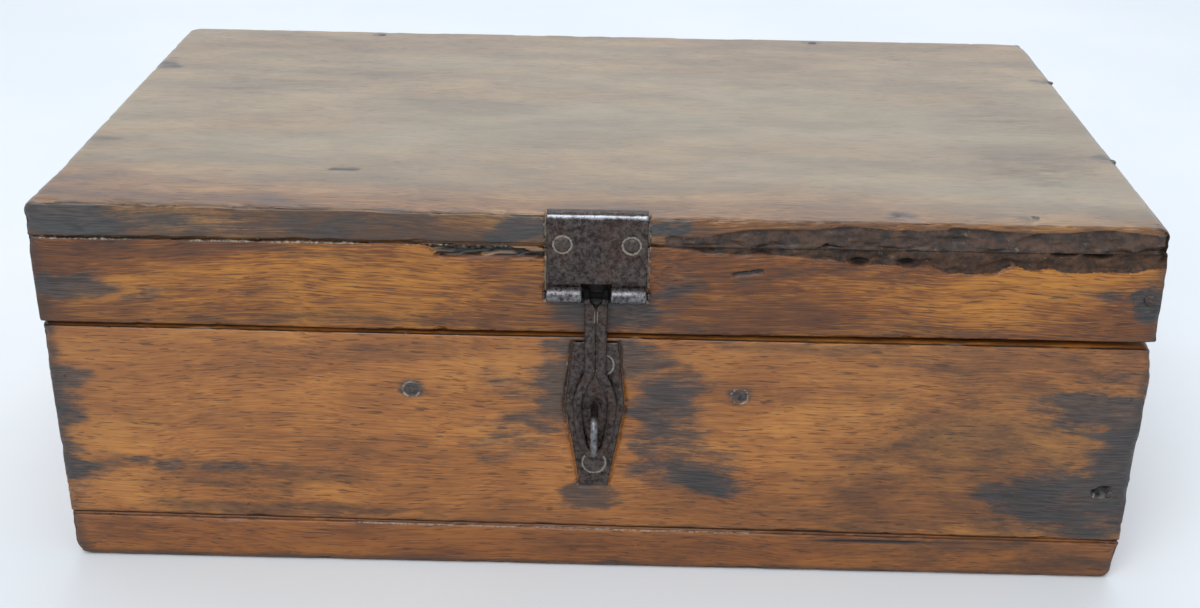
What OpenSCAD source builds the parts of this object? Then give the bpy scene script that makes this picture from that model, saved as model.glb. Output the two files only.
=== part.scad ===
// Small wooden spice box: nailed boards, a deep hinged lid and a forged iron hasp.
// X runs along the front, Y goes from the front to the back, Z is up.
// The origin is the middle of the face that the box stands on.

/* [Box] */
// Length of the box along the front
box_l = 290; // [240:1:360]
// Depth of the box from front to back
box_d = 165; // [140:1:220]
// Thickness of the wall boards and lid rails
wall_t = 8.5; // [7.5:0.1:12]
// Thickness of the bottom board
bottom_t = 13; // [9:0.5:18]
// Height of the wall boards above the bottom board
wall_h = 59.6; // [55:0.1:90]

/* [Lid] */
// Height of the lid rails
rail_h = 25; // [22:0.5:45]
// Thickness of the lid's top board
top_t = 8.5; // [7:0.1:13]
// Distance that the lid rails stand past the box at each end
lid_over = 1.4; // [0:0.1:3]
// Distance that the top board is set back from the ends of the rails
top_short = 1.5; // [0:0.1:3]
// Gap between the rim of the box and the closed lid
rim_gap = 0.4; // [0.2:0.1:0.8]

/* [Compartments] */
// Thickness of the two cross dividers
divider_t = 6; // [4:0.5:9]
// Distance from the top of the dividers to the rim
divider_drop = 6; // [2:0.5:15]
// Inside width of the left compartment
left_bay_w = 84.5; // [60:0.5:110]
// Inside width of the right compartment
right_bay_w = 95; // [60:0.5:110]

/* [Worn edges] */
// Radius of the lid's back corners seen from above
back_corner_r = 6; // [3:0.5:9]
// Radius of the front corners seen from above
front_corner_r = 2.5; // [1:0.5:5]
// Radius of the corners seen from the front
end_corner_r = 3; // [1:0.5:5]
// Radius of the long outer edges
long_edge_r = 1.2; // [0.5:0.1:2]

/* [Nails] */
// Diameter of the nail heads in the wood
nail_head_d = 4.3; // [3.5:0.1:5.5]
// Diameter of the nail shanks
nail_shank_d = 1.8; // [1.4:0.1:2.2]
// Length of the nails that join two boards
nail_len = 22; // [16:1:30]
// Distance of the corner nails from the end of the box
nail_end_in = 3; // [2.8:0.1:5]
// Distance that a nail head stands out of the wood
nail_proud = 0.25; // [0.1:0.05:0.5]
// Diameter of the nail heads on the staple plate
plate_nail_head_d = 6; // [4.5:0.1:6.5]

/* [Iron plates] */
// Thickness of the iron sheet
sheet_t = 1.2; // [1:0.1:1.5]
// Depth that the leaves are let into the wood
leaf_inset = 0.6; // [0.4:0.1:0.8]
// Width of the hasp leaf and of the hinge leaves
leaf_w = 26; // [24:0.5:34]
// Gap around a leaf in its recess
leaf_gap = 0.3; // [0.1:0.1:0.6]
// Diameter of the hinge pins and the hasp pin
pin_d = 1.8; // [1.6:0.1:2.2]
// Radial running clearance of a pin
pin_clear = 0.05; // [0.03:0.01:0.1]
// Length of the nails that hold the leaves
leaf_nail_len = 7.4; // [6:0.1:8]

/* [Hasp] */
// Centre of the hasp from the middle of the front
hasp_x = 0; // [-5:0.1:5]
// Height of the hasp leaf from the lid's top to the hasp pin
hasp_leaf_h = 21.3; // [18:0.1:26]
// Depth of the lip that the hasp leaf bends over the lid
lip_depth = 3; // [2:0.5:5]
// Width of the gap between the two hasp knuckles
hasp_gap_w = 7.3; // [6.9:0.1:9]
// Width of one strand of the hasp arm
strand_w = 3; // [2.6:0.1:3.2]
// Thickness of the hasp arm from front to back
arm_t = 1.8; // [1.5:0.1:2]
// Length of the eye at the end of the hasp arm
eye_len = 26.5; // [24:0.5:30]
// Outer width of the eye
eye_w = 12.4; // [11.5:0.1:14]

/* [Staple] */
// Diameter of the staple wire
staple_d = 2.3; // [2:0.1:2.6]
// Outer height of the staple loop
staple_h = 13; // [12:0.1:14.5]
// Distance that the staple stands out of the front board
staple_out = 10; // [9.5:0.1:12]
// Free height under the staple inside the eye
staple_clear = 2; // [1.6:0.1:3]
// Height of the staple plate
plate_h = 44; // [42:0.5:50]
// Gap between the staple plate and the rim of the box
plate_rim_gap = 1.7; // [1:0.1:4]
// Height of the staple's lower leg above the foot of its plate
staple_rise = 13.6; // [13:0.1:15]
// Width of the staple plate at its middle
plate_w = 16; // [15:0.5:20]
// Width of the staple plate at its lower end
plate_foot_w = 7.6; // [6.8:0.1:10]
// Width of the staple plate at its upper end
plate_head_w = 12; // [10:0.5:14]

/* [Back hinges] */
// Distance of the middle of each back hinge from the end of the box
hinge_end_in = 52; // [46:1:54]
// Height of a hinge leaf from the pin to its far edge
hinge_leaf_h = 20; // [17:0.5:22]
// Gap between neighbouring knuckles
knuckle_gap = 0.3; // [0.2:0.05:0.5]

/* [Hidden] */
$fn = 48;

// Levels, from the table up
rim_z = bottom_t + wall_h;
lid_z = rim_z + rim_gap;
top_board_z = lid_z + rail_h;
top_z = top_board_z + top_t;
divider_z = rim_z - divider_drop;

// Outer faces of the wooden box
half_l = box_l / 2;
half_d = box_d / 2;
lid_half_l = half_l + lid_over;
top_half_l = lid_half_l - top_short;
inner_l = box_l - 2 * wall_t;
inner_d = box_d - 2 * wall_t;

// Small allowances
cut = 1;                // how far a cutter runs past a face
seat = 0.05;            // keeps a knuckle just clear of its recess floor
knuckle_relief = 0.35;  // room around a turning knuckle in the wood
plate_inset = 0.9;      // depth that the staple plate is let into the front board
plate_gap = 0.3;        // room around the staple plate in its recess
lip_rise = 0.9;         // how far the hasp leaf's bent lip stands above the lid
seam_edge_r = 0.4;      // easing of the edges that meet at the lid's seam
strand_slit = 0.3;      // seam between the two strands of the hasp arm

// Iron parts
pin_r = pin_d / 2;
bore_r = pin_r + pin_clear;
knuckle_r = bore_r + sheet_t;
knuckle_out = knuckle_r - leaf_inset + seat;
hasp_axis_y = -half_d - knuckle_out;
hasp_axis_z = top_z - hasp_leaf_h;
hinge_axis_y = half_d + knuckle_out;
hinge_axis_z = lid_z - rim_gap / 2;
pin_head_r = pin_r + 0.5;
pin_head_t = 0.6;
leaf_nail_x = leaf_w / 2 - 4.2;
hasp_nail_drop = 7.7;
hinge_nail_rise = hinge_leaf_h * 0.62;

// Hasp arm and staple
arm_w = 2 * strand_w + strand_slit;
plate_z = rim_z - plate_rim_gap - plate_h;
plate_waist_z = plate_z + plate_h * 0.57;
plate_low_nail_z = plate_z + plate_h * 0.168;
plate_high_nail_z = plate_z + plate_h * 0.85;
staple_r = staple_d / 2;
staple_low_z = plate_z + staple_rise;
staple_high_z = staple_low_z + staple_h - staple_d;
staple_bend_r = 3.6;
staple_tail = 6;
eye_tip_t = 1.6;
eye_tip_z = staple_low_z - staple_r - staple_clear - eye_tip_t;
eye_top_z = eye_tip_z + eye_len;

// Places of the dividers and the back hinges
left_divider_x = -inner_l / 2 + left_bay_w + divider_t / 2;
right_divider_x = inner_l / 2 - right_bay_w - divider_t / 2;
hinge_x = half_l - hinge_end_in;

// Nail places, taken from the boards that the nails join
side_nail_x = half_l - nail_end_in;
lid_side_nail_x = lid_half_l - nail_end_in;
board_nail_y = half_d - wall_t * 0.59;
wall_nail_zs = [bottom_t + wall_h * 0.23, bottom_t + wall_h * 0.74];
lid_nail_z = lid_z + rail_h * 0.52;
divider_nail_z = bottom_t + wall_h * 0.715;
front_board_nail_xs = [-half_l * 0.56, half_l * 0.52, half_l * 0.765];
back_board_nail_xs = [-hinge_x + leaf_w * 0.6, hinge_x - leaf_w * 0.85];
side_board_nail_ys = [-half_d * 0.4, half_d * 0.485];
bottom_nail_xs = [-half_l * 0.7, 0, half_l * 0.7];
nail_head_t = 0.8;
nail_point = 3;

// Wood and iron, as the photograph shows them
wood = "#9a5a26";
wood_dark = "#7d4a22";
iron = "#3c3936";

// Flat shapes

// Rectangle with its own radius at each corner: lower left, lower right, upper right, upper left
module cornered(w, h, r) {
    at = [[0, 0], [w, 0], [w, h], [0, h]];
    into = [[1, 1], [-1, 1], [-1, -1], [1, -1]];
    difference() {
        square([w, h]);
        for (i = [0:3])
            translate(at[i])
                mirror([into[i][0] < 0 ? 1 : 0, 0])
                    mirror([0, into[i][1] < 0 ? 1 : 0])
                        difference() {
                            translate([-cut, -cut]) square(r[i] + cut);
                            translate([r[i], r[i]]) circle(r[i]);
                        }
    }
}

// Block of the given height whose outer edges are worn round, standing at height z
module worn_block(half, z, h, low_r, high_r, end_low_r, end_high_r) {
    intersection() {
        translate([-half, -half_d, z])
            linear_extrude(h)
                cornered(2 * half, box_d, [front_corner_r, front_corner_r, back_corner_r, back_corner_r]);
        translate([-half, half_d + cut, z])
            rotate([90, 0, 0])
                linear_extrude(box_d + 2 * cut)
                    cornered(2 * half, h, [end_low_r, end_low_r, end_high_r, end_high_r]);
        translate([-half - cut, -half_d, z])
            rotate([90, 0, 90])
                linear_extrude(2 * (half + cut))
                    cornered(box_d, h, [low_r, low_r, high_r, high_r]);
    }
}

module worn_box() {
    worn_block(half_l, 0, rim_z, long_edge_r, seam_edge_r, end_corner_r, seam_edge_r);
}

module worn_lid(half) {
    worn_block(half, lid_z, top_z - lid_z, seam_edge_r, long_edge_r, seam_edge_r, end_corner_r);
}

// Box between two corners
module slab(low, high) {
    translate(low) cube(high - low);
}

// Nails

// One forged nail: its head's underside seat is at z = 0 and it points down
module nail(length, head_d, proud = nail_proud) {
    r = head_d / 2;
    shank_r = nail_shank_d / 2;
    rotate_extrude()
        polygon([
            [0, proud], [r * 0.55, proud], [r * 0.88, proud * 0.6], [r, 0],
            [r, -nail_head_t * 0.5], [shank_r, -nail_head_t],
            [shank_r, -length + nail_point], [0, -length]
        ]);
}

// Places its child at each point, with the nail going in along +Y or -Y
module from_front(points) {
    for (p = points) translate([p[0], -half_d, p[1]]) rotate([90, 0, 0]) children();
}

module from_back(points) {
    for (p = points) translate([p[0], half_d, p[1]]) rotate([-90, 0, 0]) children();
}

wall_nail_points = [for (s = [-1, 1]) for (z = wall_nail_zs) [s * side_nail_x, z]];
lid_nail_points = [for (s = [-1, 1]) [s * lid_side_nail_x, lid_nail_z]];
divider_nail_points = [for (x = [left_divider_x, right_divider_x]) [x, divider_nail_z]];

module wall_corner_nails() {
    color(iron) {
        from_front(wall_nail_points) nail(nail_len, nail_head_d);
        from_back(wall_nail_points) nail(nail_len, nail_head_d);
    }
}

module divider_nails() {
    color(iron) {
        from_front(divider_nail_points) nail(nail_len, nail_head_d);
        from_back(divider_nail_points) nail(nail_len, nail_head_d);
    }
}

module lid_corner_nails() {
    color(iron) {
        from_front(lid_nail_points) nail(nail_len, nail_head_d);
        from_back(lid_nail_points) nail(nail_len, nail_head_d);
    }
}

lid_board_nail_points = [
    for (x = front_board_nail_xs) [x, -board_nail_y],
    for (x = back_board_nail_xs) [x, board_nail_y],
    for (s = [-1, 1]) for (y = side_board_nail_ys) [s * (lid_half_l - wall_t / 2), y]
];

module lid_board_nails() {
    color(iron)
        for (p = lid_board_nail_points)
            translate([p[0], p[1], top_z]) nail(nail_len, nail_head_d);
}

bottom_nail_points = [
    for (s = [-1, 1]) for (x = bottom_nail_xs) [x, s * board_nail_y],
    for (s = [-1, 1]) [s * (half_l - wall_t / 2), 0]
];

// The heads of the bottom nails are driven below the wood, so the box stands on wood
module bottom_nails() {
    color(iron)
        for (p = bottom_nail_points)
            translate([p[0], p[1], nail_proud])
                rotate([180, 0, 0]) nail(nail_len + bottom_t / 2, nail_head_d, 0);
}

// The wood above each sunk head is cut away as far as the bottom face
module bottom_nail_holes() {
    bottom_nails();
    for (p = bottom_nail_points)
        translate([p[0], p[1], -cut]) cylinder(h = cut + nail_proud, d = nail_head_d);
}

// Recesses in the wood

module hasp_recess() {
    w = leaf_w + 2 * leaf_gap;
    slab([hasp_x - w / 2, -half_d - cut, hasp_axis_z - knuckle_r - leaf_gap],
         [hasp_x + w / 2, -half_d + leaf_inset, top_z + cut]);
    slab([hasp_x - w / 2, -half_d - cut, top_z + lip_rise - sheet_t],
         [hasp_x + w / 2, -half_d + lip_depth + leaf_gap, top_z + cut]);
}

module hinge_recess(x) {
    w = leaf_w + 2 * leaf_gap;
    h = hinge_leaf_h + leaf_gap;
    slab([x - w / 2, half_d - leaf_inset, hinge_axis_z - h],
         [x + w / 2, half_d + cut, hinge_axis_z + h]);
    translate([x - w / 2, hinge_axis_y, hinge_axis_z])
        rotate([0, 90, 0]) cylinder(h = w, r = knuckle_r + knuckle_relief);
}

module hinge_recesses() {
    hinge_recess(-hinge_x);
    hinge_recess(hinge_x);
}

// Boards of the box

module bottom_board() {
    color(wood_dark)
        difference() {
            intersection() {
                worn_box();
                slab([-half_l, -half_d, 0], [half_l, half_d, bottom_t]);
            }
            bottom_nail_holes();
        }
}

module front_board() {
    color(wood)
        difference() {
            intersection() {
                worn_box();
                slab([-half_l, -half_d, bottom_t], [half_l, -half_d + wall_t, rim_z]);
            }
            wall_corner_nails();
            bottom_nails();
            divider_nails();
            staple_plate_outline(plate_gap, plate_inset);
            staple_plate_nails();
            staple();
        }
}

module back_board() {
    color(wood)
        difference() {
            intersection() {
                worn_box();
                slab([-half_l, half_d - wall_t, bottom_t], [half_l, half_d, rim_z]);
            }
            wall_corner_nails();
            bottom_nails();
            divider_nails();
            hinge_recesses();
            hinge_box_nails(-hinge_x);
            hinge_box_nails(hinge_x);
        }
}

module side_board(side) {
    color(wood_dark)
        difference() {
            intersection() {
                worn_box();
                slab([side > 0 ? half_l - wall_t : -half_l, -inner_d / 2, bottom_t],
                     [side > 0 ? half_l : -half_l + wall_t, inner_d / 2, rim_z]);
            }
            wall_corner_nails();
            bottom_nails();
        }
}

module divider(x) {
    color(wood_dark)
        difference() {
            slab([x - divider_t / 2, -inner_d / 2, bottom_t],
                 [x + divider_t / 2, inner_d / 2, divider_z]);
            divider_nails();
        }
}

// Boards of the lid

module lid_top_board() {
    color(wood)
        difference() {
            intersection() {
                worn_lid(top_half_l);
                slab([-top_half_l, -half_d, top_board_z], [top_half_l, half_d, top_z]);
            }
            lid_board_nails();
            hasp_recess();
            hasp_leaf_nails();
        }
}

module lid_front_rail() {
    color(wood)
        difference() {
            intersection() {
                worn_lid(lid_half_l);
                slab([-lid_half_l, -half_d, lid_z], [lid_half_l, -half_d + wall_t, top_board_z]);
            }
            lid_corner_nails();
            lid_board_nails();
            hasp_recess();
            hasp_leaf_nails();
        }
}

module lid_back_rail() {
    color(wood)
        difference() {
            intersection() {
                worn_lid(lid_half_l);
                slab([-lid_half_l, half_d - wall_t, lid_z], [lid_half_l, half_d, top_board_z]);
            }
            lid_corner_nails();
            lid_board_nails();
            hinge_recesses();
            hinge_lid_nails(-hinge_x);
            hinge_lid_nails(hinge_x);
        }
}

module lid_side_rail(side) {
    color(wood_dark)
        difference() {
            intersection() {
                worn_lid(lid_half_l);
                slab([side > 0 ? lid_half_l - wall_t : -lid_half_l, -inner_d / 2, lid_z],
                     [side > 0 ? lid_half_l : -lid_half_l + wall_t, inner_d / 2, top_board_z]);
            }
            lid_corner_nails();
            lid_board_nails();
        }
}

// Hasp

hasp_nail_points = [for (s = [-1, 1]) [hasp_x + s * leaf_nail_x, top_z - hasp_nail_drop]];

module hasp_leaf_nails() {
    color(iron)
        translate([0, leaf_inset - sheet_t, 0])
            from_front(hasp_nail_points) nail(leaf_nail_len, nail_head_d);
}

// Cylinder along X, centred on x, at a pin's axis
module along_x(x, w, y, z, r) {
    translate([x - w / 2, y, z]) rotate([0, 90, 0]) cylinder(h = w, r = r);
}

// Sheet leaf with a bent lip at its top and two rolled knuckles at its foot
module hasp_leaf() {
    back = -half_d + leaf_inset;
    face = back - sheet_t;
    lip_top = top_z + lip_rise;
    notch_top = hasp_axis_z + knuckle_r + 0.6;
    knuckle_w = (leaf_w - hasp_gap_w) / 2;
    color(iron)
        difference() {
            union() {
                slab([hasp_x - leaf_w / 2, face, hasp_axis_z],
                     [hasp_x + leaf_w / 2, back, lip_top - sheet_t]);
                translate([hasp_x - leaf_w / 2, 0, 0])
                    rotate([90, 0, 90])
                        linear_extrude(leaf_w)
                            translate([face, lip_top - 2 * sheet_t])
                                cornered(lip_depth + sheet_t - leaf_inset, 2 * sheet_t,
                                         [0.01, 0.01, 0.4, sheet_t]);
                for (s = [-1, 1])
                    along_x(hasp_x + s * (leaf_w - knuckle_w) / 2, knuckle_w,
                            hasp_axis_y, hasp_axis_z, knuckle_r);
            }
            slab([hasp_x - hasp_gap_w / 2, hasp_axis_y - knuckle_r - cut, hasp_axis_z - knuckle_r - cut],
                 [hasp_x + hasp_gap_w / 2, back + cut, notch_top]);
            slab([hasp_x - leaf_w / 2 - cut, back, lip_top - 2 * sheet_t - cut],
                 [hasp_x + leaf_w / 2 + cut, -half_d + lip_depth + cut, lip_top - sheet_t]);
            along_x(hasp_x, leaf_w + 2 * cut, hasp_axis_y, hasp_axis_z, bore_r);
            hasp_leaf_nails();
        }
}

// Pin with a hammered head at each end
module pin(x, w, y, z) {
    color(iron) {
        along_x(x, w, y, z, pin_r);
        for (s = [-1, 1])
            along_x(x + s * (w + pin_head_t) / 2, pin_head_t, y, z, pin_head_r);
    }
}

module hasp_pin() {
    pin(hasp_x, leaf_w + 2 * knuckle_gap, hasp_axis_y, hasp_axis_z);
}

// Half width of the eye at a share t of its length, from the strands down to the tip
eye_belly = 0.38;
function eye_half(t, top, full) =
    t < eye_belly
        ? top + (full - top) * sin(90 * t / eye_belly)
        : full * pow(max(0, 1 - pow((t - eye_belly) / (1 - eye_belly), 2.2)), 0.7);

// Closed outline of the eye, symmetrical about its own axis, hanging down from z = 0
function eye_side(length, top, full, steps) =
    [for (i = [0:steps]) let (t = i / steps) [eye_half(t, top, full), -t * length]];
function eye_outline(length, top, full, steps = 22) =
    concat(
        eye_side(length, top, full, steps),
        [for (i = [steps - 1:-1:0]) let (p = eye_side(length, top, full, steps)[i]) [-p[0], p[1]]]
    );

// Two strands side by side that curl round the pin and open into an eye
module hasp_arm() {
    hole_top = eye_top_z - hasp_axis_z - 0.8;
    color(iron)
        difference() {
            union() {
                translate([hasp_x, hasp_axis_y + arm_t / 2, hasp_axis_z])
                    rotate([90, 0, 0])
                        linear_extrude(arm_t)
                            difference() {
                                union() {
                                    translate([-arm_w / 2, eye_top_z - hasp_axis_z - cut])
                                        square([arm_w, hasp_axis_z - eye_top_z + cut]);
                                    translate([0, eye_top_z - hasp_axis_z])
                                        polygon(eye_outline(eye_len, arm_w / 2, eye_w / 2));
                                }
                                translate([0, hole_top])
                                    polygon(eye_outline(eye_len - eye_tip_t - 0.8,
                                                        strand_slit / 2, eye_w / 2 - strand_w));
                                translate([-strand_slit / 2, hole_top - cut])
                                    square([strand_slit, -hole_top + 2 * cut]);
                            }
                along_x(hasp_x, arm_w, hasp_axis_y, hasp_axis_z, knuckle_r);
            }
            along_x(hasp_x, arm_w + 2 * cut, hasp_axis_y, hasp_axis_z, bore_r);
            // The two curls spread apart above the strands
            translate([hasp_x, hasp_axis_y + knuckle_r + cut, hasp_axis_z])
                rotate([90, 0, 0])
                    linear_extrude(2 * (knuckle_r + cut))
                        polygon([[-strand_slit / 2, -knuckle_r * 1.4], [strand_slit / 2, -knuckle_r * 1.4],
                                 [arm_w * 0.33, knuckle_r + cut], [-arm_w * 0.33, knuckle_r + cut]]);
        }
}

// Staple

// Outline of the staple plate, grown by gap, as a solid let into the front board
module staple_plate_outline(gap, depth, face = cut) {
    translate([hasp_x, -half_d + depth, 0])
        rotate([90, 0, 0])
            linear_extrude(depth + face)
                polygon([
                    [-plate_foot_w / 2 - gap, plate_z - gap],
                    [plate_foot_w / 2 + gap, plate_z - gap],
                    [plate_w / 2 + gap, plate_waist_z],
                    [plate_head_w / 2 + gap, plate_z + plate_h + gap],
                    [-plate_head_w / 2 - gap, plate_z + plate_h + gap],
                    [-plate_w / 2 - gap, plate_waist_z]
                ]);
}

plate_proud = sheet_t - plate_inset;
plate_nail_points = [[hasp_x, plate_low_nail_z], [hasp_x, plate_high_nail_z]];

module staple_plate_nails() {
    color(iron)
        translate([0, -plate_proud, 0])
            from_front(plate_nail_points) nail(leaf_nail_len, plate_nail_head_d, 0.1);
}

module staple_plate() {
    color(iron)
        difference() {
            staple_plate_outline(0, plate_inset, plate_proud);
            staple_plate_nails();
            staple();
        }
}

// One straight stretch of staple wire along Y at height z
module staple_leg(z, y_front, y_back) {
    translate([hasp_x, y_back, z]) rotate([90, 0, 0]) cylinder(h = y_back - y_front, r = staple_r);
}

// Quarter bend of the staple wire, from the leg to the front bar, turning up or down
module staple_bend(z, y, up) {
    translate([hasp_x, y, z])
        rotate([0, 0, 180]) mirror([0, 0, up ? 0 : 1])
            rotate([90, 0, 90])
                rotate_extrude(angle = 90) translate([staple_bend_r, 0]) circle(staple_r);
}

// Staple loop through plate and board, with its ends clenched flat inside the box
module staple() {
    front = -half_d - staple_out + staple_r;
    inside = -half_d + wall_t + staple_r;
    bend_y = front + staple_bend_r;
    color(iron) {
        for (up = [false, true]) {
            leg_z = up ? staple_high_z : staple_low_z;
            turn = up ? 1 : -1;
            staple_leg(leg_z, bend_y, inside);
            staple_bend(leg_z - turn * staple_bend_r, bend_y, up);
            translate([hasp_x, inside, leg_z]) sphere(r = staple_r);
            translate([hasp_x, inside, up ? leg_z : leg_z - staple_tail])
                cylinder(h = staple_tail, r = staple_r);
        }
        translate([hasp_x, front, staple_low_z + staple_bend_r])
            cylinder(h = staple_high_z - staple_low_z - 2 * staple_bend_r, r = staple_r);
    }
}

// Back hinges

middle_w = leaf_w / 3 - knuckle_gap;
outer_w = (leaf_w - middle_w) / 2 - knuckle_gap;

function hinge_nail_points(x, side) =
    [for (s = [-1, 1]) [x + s * leaf_nail_x, hinge_axis_z + side * hinge_nail_rise]];

module hinge_nails(x, side) {
    color(iron)
        translate([0, sheet_t - leaf_inset, 0])
            from_back(hinge_nail_points(x, side)) nail(leaf_nail_len, nail_head_d);
}

module hinge_lid_nails(x) {
    hinge_nails(x, 1);
}

module hinge_box_nails(x) {
    hinge_nails(x, -1);
}

// Sheet leaf whose knuckles are the list of [centre from x, width]; side is 1 for the lid, -1 for the box
module hinge_leaf(x, side, knuckles) {
    inner = half_d - leaf_inset;
    clear = knuckle_r + knuckle_gap;
    far_z = hinge_axis_z + side * hinge_leaf_h;
    near_z = hinge_axis_z + side * clear;
    color(iron)
        difference() {
            union() {
                slab([x - leaf_w / 2, inner, min(near_z, far_z)],
                     [x + leaf_w / 2, inner + sheet_t, max(near_z, far_z)]);
                for (k = knuckles) {
                    slab([x + k[0] - k[1] / 2, inner, min(hinge_axis_z, near_z)],
                         [x + k[0] + k[1] / 2, inner + sheet_t, max(hinge_axis_z, near_z)]);
                    along_x(x + k[0], k[1], hinge_axis_y, hinge_axis_z, knuckle_r);
                }
            }
            along_x(x, leaf_w + 2 * cut, hinge_axis_y, hinge_axis_z, bore_r);
            hinge_nails(x, side);
        }
}

module hinge_lid_leaf(x) {
    hinge_leaf(x, 1, [for (s = [-1, 1]) [s * (leaf_w - outer_w) / 2, outer_w]]);
}

module hinge_box_leaf(x) {
    hinge_leaf(x, -1, [[0, middle_w]]);
}

module hinge_pin(x) {
    pin(x, leaf_w + 2 * knuckle_gap, hinge_axis_y, hinge_axis_z);
}

bottom_board();
front_board();
back_board();
side_board(-1);  // left_board
side_board(1);  // right_board
divider(left_divider_x);  // left_divider
divider(right_divider_x);  // right_divider
lid_top_board();
lid_front_rail();
lid_back_rail();
lid_side_rail(-1);  // lid_left_rail
lid_side_rail(1);  // lid_right_rail
wall_corner_nails();
bottom_nails();
divider_nails();
lid_corner_nails();
lid_board_nails();
hasp_leaf();
hasp_leaf_nails();
hasp_pin();
hasp_arm();
staple_plate();
staple_plate_nails();
staple();
hinge_lid_leaf(-hinge_x);  // left_hinge_lid_leaf
hinge_box_leaf(-hinge_x);  // left_hinge_box_leaf
hinge_pin(-hinge_x);  // left_hinge_pin
hinge_lid_nails(-hinge_x);  // left_hinge_lid_nails
hinge_box_nails(-hinge_x);  // left_hinge_box_nails
hinge_lid_leaf(hinge_x);  // right_hinge_lid_leaf
hinge_box_leaf(hinge_x);  // right_hinge_box_leaf
hinge_pin(hinge_x);  // right_hinge_pin
hinge_lid_nails(hinge_x);  // right_hinge_lid_nails
hinge_box_nails(hinge_x);  // right_hinge_box_nails
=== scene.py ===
"""Wooden spice box: worn nailed boards, a deep hinged lid and a forged iron hasp."""
import bpy, bmesh, math
import numpy as np
from functools import partial
from mathutils import Matrix, Vector


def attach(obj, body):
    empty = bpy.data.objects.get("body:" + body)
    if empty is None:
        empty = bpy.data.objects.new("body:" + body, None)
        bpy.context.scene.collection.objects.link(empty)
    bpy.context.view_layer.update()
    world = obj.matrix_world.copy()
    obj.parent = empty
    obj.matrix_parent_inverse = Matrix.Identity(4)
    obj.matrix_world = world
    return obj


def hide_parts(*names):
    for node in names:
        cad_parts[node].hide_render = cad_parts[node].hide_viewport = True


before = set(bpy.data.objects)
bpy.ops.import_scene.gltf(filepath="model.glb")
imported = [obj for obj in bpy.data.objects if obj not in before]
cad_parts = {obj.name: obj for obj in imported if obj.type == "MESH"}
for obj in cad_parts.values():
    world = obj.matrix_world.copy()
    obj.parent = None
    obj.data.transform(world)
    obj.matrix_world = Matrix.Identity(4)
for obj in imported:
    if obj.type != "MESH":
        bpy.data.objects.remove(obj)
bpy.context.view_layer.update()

# Sizes of the box in millimetres, in the frame of the CAD model
MM = 0.001
PER_METRE = 1000  # millimetres in a metre
HALF_L, HALF_D = 145.0, 82.5
WALL = 8.5
BOTTOM_TOP = 13.0
RIM = BOTTOM_TOP + 59.6
LID_FOOT = RIM + 0.4
SEAM = LID_FOOT + 25
TOP = SEAM + WALL
LID_HALF = HALF_L + 1.4
TOP_HALF = LID_HALF - 1.5
INNER_Y = HALF_D - WALL
DIVIDER_TOP = RIM - 6
DIVIDERS = {"left_divider": (-52.0, -46.0), "right_divider": (35.5, 41.5)}
# Ironwork: the axis of the hasp, those of the two hinges, and their leaves
AXIS_OUT = 1.6  # how far a pin's axis lies outside the wood
HASP_X, HASP_Y, HASP_Z = 0.0, -HALF_D - AXIS_OUT, 85.2
HINGE_X, HINGE_Y, HINGE_Z = HALF_L - 52, HALF_D + AXIS_OUT, RIM + 0.2
LEAF_W, SHEET = 26.0, 1.2
HASP_NOTCH = 7.3
LIP_RISE, LIP_DEPTH = 0.9, 3.0
HINGE_REACH = 20.0
LEAF_SEAT = 0.66  # depth of the recess that a leaf lies in
HALF_SEAT = 13.3  # half the width of that recess
CURL_R = 1.55     # middle of the sheet where it is rolled round a pin
PLATE_FOOT, PLATE_WAIST, PLATE_HEAD = 26.9, 51.98, 70.9
STAPLE_LOW, STAPLE_HIGH = 40.5, 51.2
# Places of the nails: along the front and the height, or along and across the lid and the bottom
WALL_NAILS = [(s * 142.0, z) for s in (-1, 1) for z in (26.7, 57.1)]
DIVIDER_NAILS = [(-49.0, 55.6), (38.5, 55.6)]
LID_NAILS = [(s * 142.7, 86.0) for s in (-1, 1)]
PLATE_NAILS = [(HASP_X, 34.3), (HASP_X + 1.7, 64.3)]
LEAF_NAIL_X = 8.8
HASP_NAIL_RISE, HINGE_NAIL_RISE = 13.6, 12.4
EDGE_NAIL_Y, END_NAIL_X = 77.5, 142.0
FRONT_EDGE_NAILS, BACK_EDGE_NAILS = (-81.2, 75.4, 110.9), (-77.4, 70.9)
END_NAIL_YS = (-33, 40)
# Spots of wear, as (centre, half size, strength). Iron has stained the front blue-black near the hasp,
# at the nails and at both ends, and handling has browned it elsewhere.
FRONT_STAINS = [((-10, 55), (12, 15), 0.95), ((-15, 48), (17, 6), 0.75), ((-26, 40), (20, 8), 0.50),
                ((-21, 58), (12, 8), 0.5), ((19, 50), (14, 19), 0.80), ((29, 32), (15, 10), 0.75),
                ((10, 67), (15, 8), 0.85), ((-6, 68), (10, 6), 0.8), ((17, 38), (10, 14), 0.65),
                ((134, 54), (20, 9), 1.0), ((143, 42), (14, 28), 0.95), ((127, 26), (26, 12), 0.95),
                ((138, 17), (18, 6), 0.8), ((115, 30), (16, 5), 0.6), ((-141, 57), (10, 5), 0.8),
                ((-143, 42), (9, 30), 0.78), ((-141, 27), (14, 6), 0.75), ((-112, 30), (34, 3.5), 0.5),
                ((0, 24), (11, 4), 0.9)]
FRONT_BROWNED = [((-131, 30), (16, 5), 0.6), ((70, 70), (60, 3), 0.5), ((-85, 17), (60, 4), 0.7),
                 ((-95, 27), (44, 6), 0.55), ((85, 17), (45, 3.5), 0.6), ((82, 38), (30, 4), 0.55),
                 ((103, 50), (14, 4), 0.4), ((-60, 68), (60, 4), 0.4), ((-110, 45), (25, 8), 0.3),
                 ((60, 56), (18, 7), 0.35)]
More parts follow.
